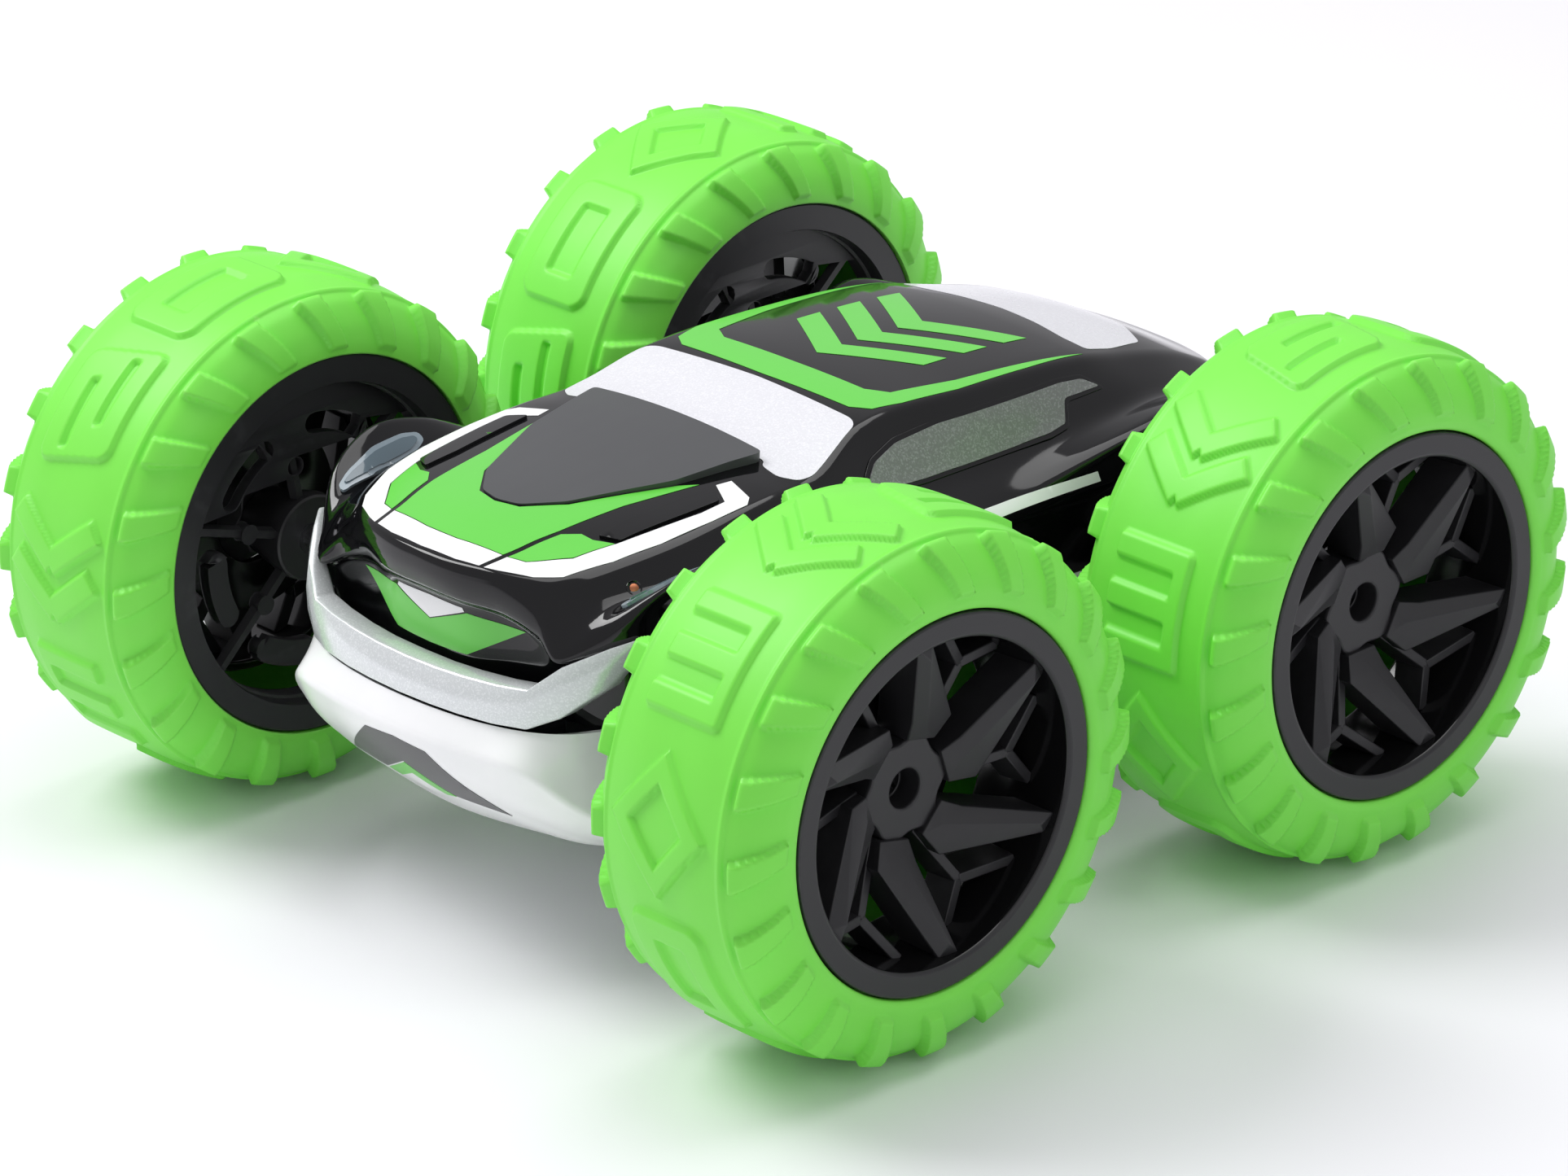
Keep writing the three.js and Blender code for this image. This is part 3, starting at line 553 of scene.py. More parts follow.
# %% Lugs and mould line
def lug_height(turn, offset, radius):
    """Height of the shoulder lugs; they widen, lean and rise from the side wall to the tread."""
    climb = np.clip((radius - 38.4) / (46.6 - 38.4), 0, 1)
    lean = math.radians(5.5) * climb
    half = np.radians(2.75 + 0.45 * climb)
    phase = (turn - lean + LUG_PITCH / 2) % LUG_PITCH - LUG_PITCH / 2
    across = 1 - smooth_step(-0.002, 0.007, np.abs(phase) - half)
    inner_end = smooth_step(38.4, 38.8, radius)
    outer_end = smooth_step(15.4, 15.9, np.abs(offset))
    return (1.05 + 0.95 * climb) * across * inner_end * outer_end


def mould_line(offset):
    return 0.28 * smooth_step(14.9, 14.4, np.abs(offset)) * smooth_step(13.2, 14.3, np.abs(offset))


def outward(section):
    """Unit normals of the outside rows."""
    ahead = np.roll(section, -1, axis=0) - np.roll(section, 1, axis=0)
    normal = np.stack([-ahead[:, 1], ahead[:, 0]], axis=1)
    normal /= np.linalg.norm(normal, axis=1)[:, None]
    middle_row = len(section) // 2
    return normal if normal[middle_row, 1] > 0 else -normal


def tyre_drawing():
    turn = (np.arange(COLUMNS) * 2 * math.pi / COLUMNS)[:, None]
    offset, radius = SECTION[None, :OUTSIDE, 0], SECTION[None, :OUTSIDE, 1]
    raised = PAD_HEIGHT * pad_mask(turn, np.broadcast_to(offset, (COLUMNS, OUTSIDE)))
    raised = raised * (1 - smooth_step(12.6, 13.6, np.abs(offset)))
    raised = raised + lug_height(turn, offset, radius) + mould_line(offset)
    normal = outward(SECTION[:OUTSIDE])
    normal[0], normal[-1] = (-1, 0), (1, 0)
    x = np.repeat(SECTION[None, :, 0], COLUMNS, axis=0)
    r = np.repeat(SECTION[None, :, 1], COLUMNS, axis=0)
    x[:, :OUTSIDE] += raised * normal[None, :, 0]
    r[:, :OUTSIDE] += raised * normal[None, :, 1]
    points = np.stack([x, r * np.cos(turn), r * np.sin(turn)], axis=2).reshape(-1, 3)
    rows = len(SECTION)
    column, row = np.meshgrid(np.arange(COLUMNS), np.arange(rows), indexing="ij")
    ahead, up = (column + 1) % COLUMNS, (row + 1) % rows
    faces = np.stack([column * rows + row, ahead * rows + row, ahead * rows + up, column * rows + up],
                     axis=2).reshape(-1, 4)
    return points, faces.tolist()


# %% Four tyres from one drawing
def wheel_place(tag):
    """Wheel drawings are in millimetres from the wheel centre; the right side is mirrored."""
    side, end = WHEELS[tag]
    centre = Matrix.Translation((side * WHEEL_X, end * HALF_BASE, AXLE_HEIGHT))
    return centre @ Matrix.Diagonal((side * MM, MM, MM, 1))


tyre_points, tyre_faces = tyre_drawing()
for tag in WHEELS:
    turned = Matrix.Rotation(math.radians({"fl": 12, "fr": 84, "rl": 41, "rr": 118}[tag]), 4, "X")
    tyre = new_piece("soft_tyre_" + tag, tyre_points, tyre_faces, [rubber], wheel_place(tag) @ turned)
    place_piece(tyre, "wheel_" + tag, "tyre_rubber", "tyre_" + tag)
print("tyre points", len(tyre_points), "each")


# %% [markdown]
# ## Outer rims
# Each outer rim is one black moulding: a flat satin ring, a deep glossy dish, a six-lobed hub and
# six swept blades with a crease along the top, and thinner forked struts between them. The ring
# and dish are turned. The blades are drawn as faceted solids, point by point in polar form, since
# their creased faces are what catches the light; a bevel then gives every edge its moulded radius.

# %% Ring and dish
RING = 35.0
FACE = 20.2
SPOKES = 6
BLADE_TIP = {"fl": 36, "fr": 36, "rl": 50, "rr": 50}
DISH = [(FACE, 30.9), (FACE, 34.7), (FACE - 0.3, RING), (17.6, RING), (17.2, 32.2), (0.4, 31.0),
        (0.0, 30.6), (0.0, 29.4), (0.4, 29.1), (16.0, 29.8), (18.6, 30.1), (19.7, 30.3)]
GLOSSY_ROWS = range(6, 11)
LOBE_TURN = 8


def polar(radius, degrees, offset):
    turn = math.radians(degrees)
    return (offset, radius * math.cos(turn), radius * math.sin(turn))


def add_ring(drawing):
    """The flat ring in satin, and the inside of the dish in gloss."""
    points, faces = lathe(DISH, 144)
    drawing.add(points, faces, 0)
    drawing.finish[-len(faces):] = [int(index % len(DISH) in GLOSSY_ROWS) for index in range(len(faces))]


# %% Hub, blades and struts
def add_hub(drawing):
    """Six-lobed disc with a screw recess in the middle."""
    outside, rings = [], []
    for degrees in range(0, 360, 5):
        lobe = 9.5 + 0.75 * math.cos(math.radians(SPOKES * (degrees - LOBE_TURN)))
        outside.append((degrees, lobe))
    for offset, grow, hole in [(10.2, -0.35, None), (9.85, 0.0, None), (3.0, 0.5, None), (-1.8, -3.0, None)]:
        rings.append([polar(r + grow, a, offset) for a, r in outside])
    for offset, radius in [(-1.8, 2.4), (5.2, 2.4), (5.3, 3.5), (9.9, 3.6), (10.2, 3.9)]:
        rings.append([polar(radius, a, offset) for a, _ in outside])
    points, faces = loft(rings, closed=True)
    drawing.add(points, faces, 0)


def add_blade(drawing, tip):
    """One swept blade: angles are from its tip, the top has a crease, the root is deep."""
    top = [(9.3, -5, 10.9), (13.2, -4, 12.4), (30.5, 3.0, 18.4), (30.7, -4.2, 17.6),
           (15.0, -42.5, 12.6), (10.2, -46, 10.8)]
    crease = [(11.4, -24, 12.3), (27.2, -1.6, 19.0)]
    below = [(r, a, x - drop) for (r, a, x), drop in zip(top, (8, 8.5, 9, 9, 8.5, 8))]
    points = [polar(r, tip + a, x) for r, a, x in top + crease + below]
    faces = [(0, 1, 2, 7, 6), (5, 6, 7, 3, 4), (2, 3, 7), (0, 6, 5), (13, 12, 11, 10, 9, 8)]
    faces += [(k, k + 8, (k + 1) % 6 + 8, (k + 1) % 6) for k in range(6)]
    drawing.add(points, faces, 0)


def add_floor(drawing):
    """The black web behind the blades; the tyre's green lining shows only outside it."""
    points, faces = lathe([(2.6, 9.4), (2.6, 18.6), (2.2, 19.0), (0.6, 19.0), (0.6, 9.4)], 96)
    drawing.add(points, faces, 1)


def add_bar(drawing, start, end, width, depth):
    """A strut between two polar points, narrower on top than below."""
    (r0, a0, x0), (r1, a1, x1) = start, end
    begin, finish = Vector(polar(r0, a0, x0)), Vector(polar(r1, a1, x1))
    aside = Vector((1, 0, 0)).cross(finish - begin).normalized()
    rings = []
    for middle_point in (begin, finish):
        top, low = middle_point, middle_point - Vector((depth, 0, 0))
        rings.append([tuple(top + aside * width / 2), tuple(top - aside * width / 2),
                      tuple(low - aside * (width / 2 + 0.5)), tuple(low + aside * (width / 2 + 0.5))])
    points, faces = loft(rings)
    drawing.add(points, faces, 0)


def add_fork(drawing, tip):
    """Forked strut between two blades: a stem from the hub and two arms to the dish."""
    fork = (23.8, tip + 23.7, 11.6)
    add_bar(drawing, (10.0, tip + 17, 8.6), fork, 1.9, 6.5)
    add_bar(drawing, fork, (30.0, tip + 43.5, 14.2), 1.9, 7.0)
    add_bar(drawing, fork, (29.8, tip + 10.5, 12.0), 1.9, 6.5)


# %% Four outer rims
for tag in WHEELS:
    rim = Drawing()
    add_ring(rim)
    add_hub(rim)
    add_floor(rim)
    for number in range(SPOKES):
        add_blade(rim, BLADE_TIP[tag] + 60 * number)
        add_fork(rim, BLADE_TIP[tag] + 60 * number)
    piece = rim.piece("outer_rim_" + tag, [rim_satin, rim_gloss], wheel_place(tag))
    sharp_shading(piece, 30)
    round_edges(piece, 0.28, 2, 30)
    place_piece(piece, "wheel_" + tag, "rim_plastic", "rim_outer_" + tag)
print("outer rim points", len(rim.points))


# %% [markdown]
# ## Inner rims
# Seen on the far wheels: a stepped ring with a groove, and a recessed disc with long round-ended
# slots that show the green inside of the tyre. Ring and boss are turned. The slotted disc is drawn
# flat as circles and slots in one filled curve, the simplest way to get clean holes, then extruded.

# %% Inner rim
INNER_RING = 36.8
INNER_RING_SECTION = [(-FACE, 31.6), (-FACE, 36.5), (-19.9, INNER_RING), (-17.9, INNER_RING), (-17.5, 33.2),
                      (-13.0, 32.6), (-13.0, 30.6), (-16.6, 30.7), (-17.0, 31.2), (-19.6, 31.3)]
BOSS_SECTION = [(-2.4, 2.4), (-2.4, 6.2), (-13.6, 8.6), (-15.8, 8.4), (-16.1, 8.0), (-16.1, 3.2),
                (-15.6, 2.6)]


def ring_points(radius, start, end, count, x=0.0):
    return [polar(radius, start + (end - start) * k / count, x) for k in range(count + 1)]


def slot_outline(centre, reach, low, high):
    """A curved slot between two radii with rounded ends."""
    half = (high - low) / 2
    middle_radius = (high + low) / 2
    points = ring_points(high, centre - reach, centre + reach, 10)
    for side, order in ((1, 1), (-1, -1)):
        cy, cz = polar(middle_radius, centre + side * reach, 0)[1:]
        for k in range(1, 6):
            turn = math.radians(centre + side * reach + order * 180 * k / 6)
            points.append((0, cy + half * math.cos(turn), cz + half * math.sin(turn)))
        if side == 1:
            points += ring_points(low, centre + reach, centre - reach, 10)
    return points


def slotted_disc(name):
    """Flat disc with six long slots, six small holes and a centre bore."""
    curve = bpy.data.curves.new(name, "CURVE")
    curve.dimensions = "2D"
    curve.fill_mode = "BOTH"
    curve.extrude = 1.1
    curve.bevel_depth = 0.25
    curve.bevel_resolution = 1
    outlines = [ring_points(30.9, 0, 360, 96)[:-1], ring_points(5.0, 0, 360, 32)[:-1]]
    for number in range(SPOKES):
        outlines.append(slot_outline(60 * number + 12, 14, 20.4, 25.0))
        cy, cz = polar(15.6, 60 * number + 42, 0)[1:]
        outlines.append([(0, cy + 2.0 * math.cos(k * math.pi / 8), cz + 2.0 * math.sin(k * math.pi / 8))
                         for k in range(16)])
    for line in outlines:
        spline = curve.splines.new("POLY")
        spline.points.add(len(line) - 1)
        for point, (_, y, z) in zip(spline.points, line):
            point.co = (y, z, 0, 1)
        spline.use_cyclic_u = True
    holder = bpy.data.objects.new(name, curve)
    bpy.context.scene.collection.objects.link(holder)
    bpy.context.view_layer.update()
    mesh = bpy.data.meshes.new_from_object(holder.evaluated_get(bpy.context.evaluated_depsgraph_get()))
    points = [(-14.4 - v.co.z, v.co.x, v.co.y) for v in mesh.vertices]
    faces = [tuple(p.vertices) for p in mesh.polygons]
    bpy.data.objects.remove(holder)
    return points, faces


disc_points, disc_faces = slotted_disc("slotted_disc")
for tag in WHEELS:
    rim = Drawing()
    rim.add(*lathe(INNER_RING_SECTION, 144), 0)
    rim.add(disc_points, disc_faces, 0)
    rim.add(*lathe(BOSS_SECTION, 48), 0)
    for number in range(SPOKES):
        add_bar(rim, (8.0, 60 * number + 42, -15.0), (30.8, 60 * number + 42, -15.6), 1.4, -1.6)
    piece = rim.piece("inner_rim_" + tag, [rim_satin], wheel_place(tag))
    weld = bmesh.new()
    weld.from_mesh(piece.data)
    bmesh.ops.remove_doubles(weld, verts=weld.verts, dist=0.00002)
    bmesh.ops.recalc_face_normals(weld, faces=weld.faces)
    weld.to_mesh(piece.data)
    weld.free()
    sharp_shading(piece, 32)
    round_edges(piece, 0.2, 2, 32)
    place_piece(piece, "wheel_" + tag, "rim_plastic", "rim_inner_" + tag)
print("inner rim points", len(rim.points))


# %% Wheel screws
# A cross-recessed screw sits deep in each hub, coloured near black as painted shade, so that the hole reads
# dark.
def wheel_screw(tag):
    head = [(4.1, 0.0), (4.1, 2.8), (5.4, 2.8), (6.0, 2.4), (6.3, 1.4), (6.4, 0.0)]
    rings = []
    for x, r in head:
        rings.append([polar(max(r, 0.02), 15 * k, x) for k in range(24)])
    drawing = Drawing()
    drawing.add(*loft(rings))
    piece = drawing.piece("wheel_screw_head_" + tag, [screw_painted_shade], wheel_place(tag))
    cutter = Drawing()
    slot = ((-1.9, -0.35), (1.9, -0.35), (1.9, 0.35), (-1.9, 0.35))
    for turn in (45, 135):
        c, s = math.cos(math.radians(turn)), math.sin(math.radians(turn))
        corners = [(u * c - v * s, u * s + v * c) for u, v in slot]
        cutter.add(*loft([[(x, y, z) for y, z in corners] for x in (5.4, 7.0)]))
    tool = cutter.piece("screw_cutter_" + tag, [screw_painted_shade], wheel_place(tag))
    modifier(piece, "BOOLEAN", object=tool, operation="DIFFERENCE", use_self=True)
    finished_mesh(piece)
    bpy.data.objects.remove(tool)
    sharp_shading(piece, 35)
    return piece


for tag in WHEELS:
    place_piece(wheel_screw(tag), "wheel_" + tag, "steel", "wheel_screw_" + tag)


# %% [markdown]
# ## Body shells
# The body is two thin gloss shells that meet at a seam on the axle line. Their faces flow along the
# car between a few character lines: bonnet edge, wing crest, window line, sill. So each shell is a
# cage of ribs, half a body wide, with those lines as columns. A mirror completes it, a small rounded
# corner at each column keeps the character lines crisp, and a solidify gives the shell its wall.

# %% Ribs of the upper shell, nose to tail
# columns: centre line, bonnet or roof edge, fold below it, wing crest, side, seam
UPPER = [
    [(0, -88.6, 26.5), (0, -89.6, 26), (0, -90, 22.6), (0, -88.9, 18.8), (0, -86.6, 18.2), (0, -86.6, 0.2)],
    [(0, -87.6, 26.8), (9, -88.8, 26.1), (9.4, -89.4, 22.5), (9.5, -88.5, 18.7), (9.3, -86.2, 18.1),
     (9.3, -86.2, 0.2)],
    [(0, -85, 27.4), (17.5, -86.4, 26), (18.4, -87, 22), (19, -85.8, 17.8), (18.5, -83.6, 17.2),
     (18.5, -83.6, 0.2)],
    [(0, -82, 28.2), (23.8, -83, 25.4), (25.4, -84.6, 21), (26.6, -84.8, 15.6), (25.4, -82.4, 15),
     (26, -82, 0.2)],
    [(0, -79, 28.8), (27.2, -79.4, 25.3), (29.5, -82.4, 20), (32.6, -86, 12.9), (31.4, -82.5, 12.2),
     (32, -81, 0.2)],
    [(0, -75.5, 29.6), (29.6, -75.5, 25.9), (33, -78.5, 20.5), (37.8, -80, 18.2), (39, -78.6, 12),
     (38, -77, 0.2)],
    [(0, -70, 30.3), (31.5, -69.8, 27), (36.4, -71.5, 21.3), (43.4, -72, 25.8), (45, -71.5, 14),
     (42, -71, 0.2)],
    [(0, -60, 31.2), (33.4, -60, 28.1), (38.6, -60.5, 21.6), (46.2, -60.5, 29.8), (48.6, -60.5, 16),
     (45.5, -60.5, 0.2)],
    [(0, -48, 31.9), (33.8, -48, 29.2), (38.6, -48, 22.2), (46.8, -48, 27.8), (48.4, -48, 16),
     (46, -48, 0.2)],
    [(0, -34, 32.7), (33.6, -34, 30), (37.4, -34, 23), (44.6, -34, 21.4), (46.4, -34, 15.5),
     (45.8, -34, 0.2)],
    [(0, -23, 33.4), (33, -23, 30.4), (36.6, -21, 24), (43.4, -22, 19.6), (45.6, -22, 16), (45.5, -22, 0.2)],
    [(0, -8, 36.5), (29.2, -8, 35.4), (35.9, -8, 23.4), (43, -8, 18.8), (45.5, -8, 16), (45.5, -8, 0.2)],
    [(0, 20, 36.8), (29.5, 20, 35.2), (36.4, 20, 22.6), (43, 20, 18.8), (45.5, 20, 16), (45.5, 20, 0.2)],
    [(0, 50, 34.6), (28.2, 50, 32.8), (35.6, 50, 23.4), (45.6, 50, 24), (47.6, 50, 16), (46, 50, 0.2)],
    [(0, 62, 32), (26.8, 62, 29.9), (35.4, 62, 23), (46.4, 62, 26.4), (48.4, 62, 16), (46, 62, 0.2)],
    [(0, 78, 27.6), (25.6, 78, 25.6), (33.4, 78, 20.5), (41.5, 78, 20.5), (44, 78, 13), (43, 78, 0.2)],
    [(0, 88.6, 22.4), (24.6, 88.6, 21), (30, 88.8, 17.5), (36, 88.6, 14.5), (38.5, 88.2, 9), (38, 87, 0.2)],
    [(0, 91.6, 21.2), (14, 92.4, 20.3), (18, 91.8, 16), (22, 91.4, 12), (24, 89.4, 8), (24, 87.4, 0.2)],
    [(0, 92.2, 20.8), (0, 93.2, 20.1), (0, 92.6, 16), (0, 92, 12), (0, 91, 8), (0, 89.6, 0.2)],
]

# %% Ribs of the lower shell, nose to tail
# columns: seam, bumper ridge, middle of the slope, belly edge, centre line
LOWER = [
    [(0, -94.4, -0.2), (0, -97, -5.5), (0, -94.6, -12.5), (0, -90.4, -18.4), (0, -89, -20)],
    [(9.5, -94, -0.2), (10, -96.6, -5.5), (10, -94.2, -12.5), (9.5, -90, -18.4), (0, -86, -22.6)],
    [(19.5, -92.4, -0.2), (20, -95.4, -5.6), (20, -92.6, -13), (18, -87.6, -19.6), (0, -82, -26)],
    [(28.8, -89, -0.2), (30.6, -93.2, -6), (29.5, -89.6, -15), (24.6, -83.4, -22.5), (0, -77, -28.6)],
    [(34.5, -84.6, -0.2), (38.6, -85.4, -14), (36, -83, -19), (29.5, -77.5, -25.5), (0, -70, -30.6)],
    [(38, -79, -0.2), (43, -76, -19), (40.5, -73, -23.5), (32, -69, -28), (0, -62, -32)],
    [(42, -71, -0.2), (46.6, -64, -20), (43.5, -62, -25.6), (33.4, -60, -30), (0, -52, -33.6)],
    [(46, -48, -0.2), (48, -50, -18), (44, -48, -25), (33.6, -48, -32.5), (0, -44, -35)],
    [(45.8, -34, -0.2), (47, -36, -16), (42.5, -36, -23), (33, -38, -36), (0, -38, -36)],
    [(45.5, -8, -0.2), (46, -8, -15), (41.5, -8, -22), (31, -8, -36), (0, -8, -36)],
    [(45.5, 20, -0.2), (46, 20, -15), (41.5, 20, -22), (31, 20, -36), (0, 20, -36)],
    [(46, 50, -0.2), (47.6, 50, -16), (43, 50, -24), (30, 50, -36), (0, 52, -36)],
    [(46, 62, -0.2), (48, 62, -19), (43.5, 62, -25), (28.5, 64, -32), (0, 66, -33)],
    [(43, 78, -0.2), (44.5, 78, -16), (40, 78, -21.5), (26, 79, -27), (0, 80, -28.6)],
    [(38, 88, -0.2), (39.5, 90, -9), (36, 89, -15.5), (24.6, 88.4, -20), (0, 88.6, -22.5)],
    [(20, 93.4, -0.2), (21, 95.4, -5.5), (20.5, 93.4, -12.5), (15, 90.6, -18.4), (0, 90, -20.8)],
    [(0, 94.4, -0.2), (0, 96.6, -5.5), (0, 94.4, -12.5), (0, 91, -18.4), (0, 90.6, -20)],
]


# %% Ribs to skin
def along_ribs(ribs, steps=7):
    """Rows between the ribs. Each column is a curve through its points, mirrored past both ends."""
    ribs = np.array(ribs, float)
    flip = np.array([-1, 1, 1])
    knots = np.concatenate([[ribs[1] * flip], ribs, [ribs[-2] * flip]])
    rows = []
    for i in range(1, len(knots) - 2):
        before, start, end, after = knots[i - 1:i + 3]
        span = [np.maximum(np.linalg.norm(q - p, axis=1), 0.5)[:, None]
                for p, q in ((before, start), (start, end), (end, after))]
        leave = ((start - before) / span[0] + (end - start) / span[1]) / 2 * span[1]
        arrive = ((end - start) / span[1] + (after - end) / span[2]) / 2 * span[1]
        for t in np.arange(steps) / steps:
            rows.append((2 * t ** 3 - 3 * t ** 2 + 1) * start + (t ** 3 - 2 * t ** 2 + t) * leave
                        + (3 * t ** 2 - 2 * t ** 3) * end + (t ** 3 - t ** 2) * arrive)
    rows.append(ribs[-1])
    return rows


def panel_point(row, k, t, domed):
    """A point on the panel between columns k and k + 1; the domed panel bulges toward the middle."""
    start, end = row[k], row[k + 1]
    if k != domed:
        return start + (end - start) * t
    edge, centre, share = (end, start, t) if k == 0 else (start, end, 1 - t)
    point = centre + (edge - centre) * share ** 2
    point[0] = centre[0] + (edge[0] - centre[0]) * share
    return point


def skin_row(row, reach, domed, flat_steps=6, corner_steps=4):
    """Across one row: flat panels, with a small rounded corner at each character line."""
    last = len(row) - 1
    lengths = [max(np.linalg.norm(row[k + 1] - row[k]), 1e-6) for k in range(last)]
    cuts = [(min(reach[k] / lengths[k], 0.42) if k else 0.0,
             min(reach[k + 1] / lengths[k], 0.42) if k + 1 < last else 0.0) for k in range(last)]
    line = []
    for k in range(last):
        first, final = cuts[k][0], 1 - cuts[k][1]
        flat = [panel_point(row, k, first + (final - first) * s / flat_steps, domed)
                for s in range(flat_steps + 1)]
        if line:
            start, corner, end = line[-1], row[k], flat[0]
            for s in range(1, corner_steps):
                t = s / corner_steps
                line.append((1 - t) ** 2 * start + 2 * t * (1 - t) * corner + t * t * end)
        line.extend(flat)
    return line


def shell(name, ribs, reach, domed, material, wall):
    """Half a skin through the ribs, mirrored and given its wall."""
    lines = [skin_row(row, reach, domed) for row in along_ribs(ribs)]
    count = len(lines[0])
    points = [tuple(p) for line in lines for p in line]
    faces = [(i * count + k, i * count + k + 1, (i + 1) * count + k + 1, (i + 1) * count + k)
             for i in range(len(lines) - 1) for k in range(count - 1)]
    piece = new_piece(name, points, faces, [material])
    modifier(piece, "MIRROR", use_axis=(True, False, False), use_clip=True, merge_threshold=0.00005)
    modifier(piece, "SOLIDIFY", thickness=wall * MM, offset=-1, use_even_offset=False, use_rim=True)
    return piece


upper = shell("upper_body", UPPER, (0, 1.5, 2.6, 2.0, 2.2, 0), 0, shell_black, 1.6)
lower = shell("lower_body", LOWER, (0, 1.3, 4.0, 2.4, 0), 3, shell_white, 1.6)
for body_shell in (upper, lower):
    finished_mesh(body_shell)
    sharp_shading(body_shell, 60)
place_piece(upper, "body", "shell_black", "upper_shell")
place_piece(lower, "body", "shell_white", "lower_shell")
print("upper shell faces", len(upper.data.polygons), "lower", len(lower.data.polygons))


# %% Laying thin pieces on the shells
def surface_of(*pieces):
    """A search tree over the outside of finished pieces, in metres."""
    points, faces = [], []
    for piece in pieces:
        first = len(points)
        points.extend(v.co for v in piece.data.vertices)
        faces.extend([first + i for i in p.vertices] for p in piece.data.polygons)
    return BVHTree.FromPolygons(points, faces)


SHELLS = surface_of(upper, lower)
# how a flat drawing is held over the body, and which way it drops onto it
SEEN_FROM = {
    "top": (lambda a, b: (a, b, 80), (0, 0, -1)),
    "left": (lambda a, b: (80, a, b), (-1, 0, 0)),
    "right": (lambda a, b: (-80, a, b), (1, 0, 0)),
    "nose": (lambda a, b: (a, -130, b), (0, 1, 0)),
    "tail": (lambda a, b: (a, 130, b), (0, -1, 0)),
}


def drop_on(a, b, view, surface):
    """Where a drawn point meets the surface, and the normal there."""
    start, toward = SEEN_FROM[view]
    origin = DRAWING @ Vector(start(a, b))
    place, normal, _, _ = surface.ray_cast(origin, Vector(toward))
    if place is None:
        place, normal, _, _ = surface.find_nearest(origin + Vector(toward) * 80 * MM)
    if normal.dot(Vector(toward)) > 0:
        normal = -normal
    return place, normal


def split_outline(outline, step):
    """The outline with extra points, none further apart than step."""
    line = []
    for i, (a, b) in enumerate(outline):
        c, d = outline[(i + 1) % len(outline)]
        count = max(1, int(math.hypot(c - a, d - b) / step))
        line.extend((a + (c - a) * k / count, b + (d - b) * k / count) for k in range(count))
    return line


def laid_sheet(name, outline, view, surface, material, low=0.02, high=0.12, step=1.6, bevel=0.0, rise=None):
    """A thin closed sheet that follows the surface. rise(a, b) adds height to its upper face."""
    edge = split_outline(outline, step)
    lows, highs = np.min(edge, axis=0), np.max(edge, axis=0)
    grid = [(a, b) for a in np.arange(lows[0] + step / 2, highs[0], step)
            for b in np.arange(lows[1] + step / 2, highs[1], step)]
    spots = [Vector(p) for p in edge] + [Vector(p) for p in grid]
    ring = [(i, (i + 1) % len(edge)) for i in range(len(edge))]
    flat, _, tiles, _, _, _ = delaunay_2d_cdt(spots, ring, [tuple(range(len(edge)))], 2, 0.02)
    inside = sorted({i for tile in tiles for i in tile})
    index = {old: new for new, old in enumerate(inside)}
    below, above = [], []
    for i in inside:
        place, normal = drop_on(flat[i].x, flat[i].y, view, surface)
        extra = rise(flat[i].x, flat[i].y) if rise else 0.0
        below.append(place + normal * low * MM)
        above.append(place + normal * (high + extra) * MM)
    count = len(inside)
    faces = [tuple(index[i] for i in reversed(tile)) for tile in tiles]
    faces += [tuple(count + index[i] for i in tile) for tile in tiles]
    edges = {}
    for tile in tiles:
        for k in range(len(tile)):
            pair = (index[tile[k]], index[tile[(k + 1) % len(tile)]])
            edges[pair] = True
    rim = [(a, b) for a, b in edges if (b, a) not in edges]
    faces += [(a, b, count + b, count + a) for a, b in rim]
    piece = new_piece(name, below + above, faces, [material], Matrix.Identity(4))
    sharp_shading(piece, 40)
    if bevel:
        round_edges(piece, bevel, 3, 50)
    return piece


# %% [markdown]
# ## Bumper bands
# A pearl white band wraps each end above the seam and rises to a point at the sides. It is a bent
# bar: a section at each place across the car, with its top and bottom edges rising at the corners,
# lofted on one half and mirrored, with small radii along its edges.

# %% Bumper bands
# x, then (y, z) of the bottom edge, top edge and back
BAND = [
    [0, (-94.8, 0.35), (-92.8, 7.0), -88.0],
    [8, (-94.5, 0.35), (-92.5, 7.0), -87.8],
    [15, (-93.8, 0.35), (-91.9, 7.2), -87.2],
    [22.5, (-92.3, 0.35), (-90.8, 7.5), -86.0],
    [28.8, (-89.8, 0.4), (-89.4, 8.0), -84.6],
    [34.2, (-86.8, 3.2), (-86.2, 12.9), -82.2],
    [40, (-81.2, 8.8), (-80.0, 16.4), -77.0],
    [43.2, (-76.4, 14.6), (-76.0, 18.0), -74.4],
]


def bumper(name, end):
    """end is -1 for the front band and 1 for the rear one."""
    rings = []
    for x, (y0, z0), (y1, z1), back in BAND:
        face = ((y0 + y1) / 2 - 0.5, (z0 + z1) / 2)
        line = [(y0, z0), face, (y1, z1), (back, z1 - 0.2), (back, z0 + 0.2)]
        rings.append([(x, -end * y, z) for y, z in line])
    points, faces = loft(rings)
    faces = [f for f in faces if not all(points[i][0] == 0 for i in f)]
    piece = new_piece(name, points, faces, [bumper_pearl])
    modifier(piece, "MIRROR", use_axis=(True, False, False), use_clip=True, merge_threshold=0.0002)
    round_edges(piece, 0.4, 2, 22)
    finished_mesh(piece)
    sharp_shading(piece, 40)
    return piece


place_piece(bumper("front_bumper_band", -1), "body", "shell_white", "front_bumper")
place_piece(bumper("rear_bumper_band", 1), "body", "shell_white", "rear_bumper")


# %% [markdown]
# ## Panels on the body
# The raised bonnet panel, side windows, vents and headlamps follow the shell they sit on. Each is an
# outline drawn flat, filled with a fine mesh, dropped onto the shell and thickened. A bevel rounds
# its rim, so it reads as a separate moulding with its own seam line.

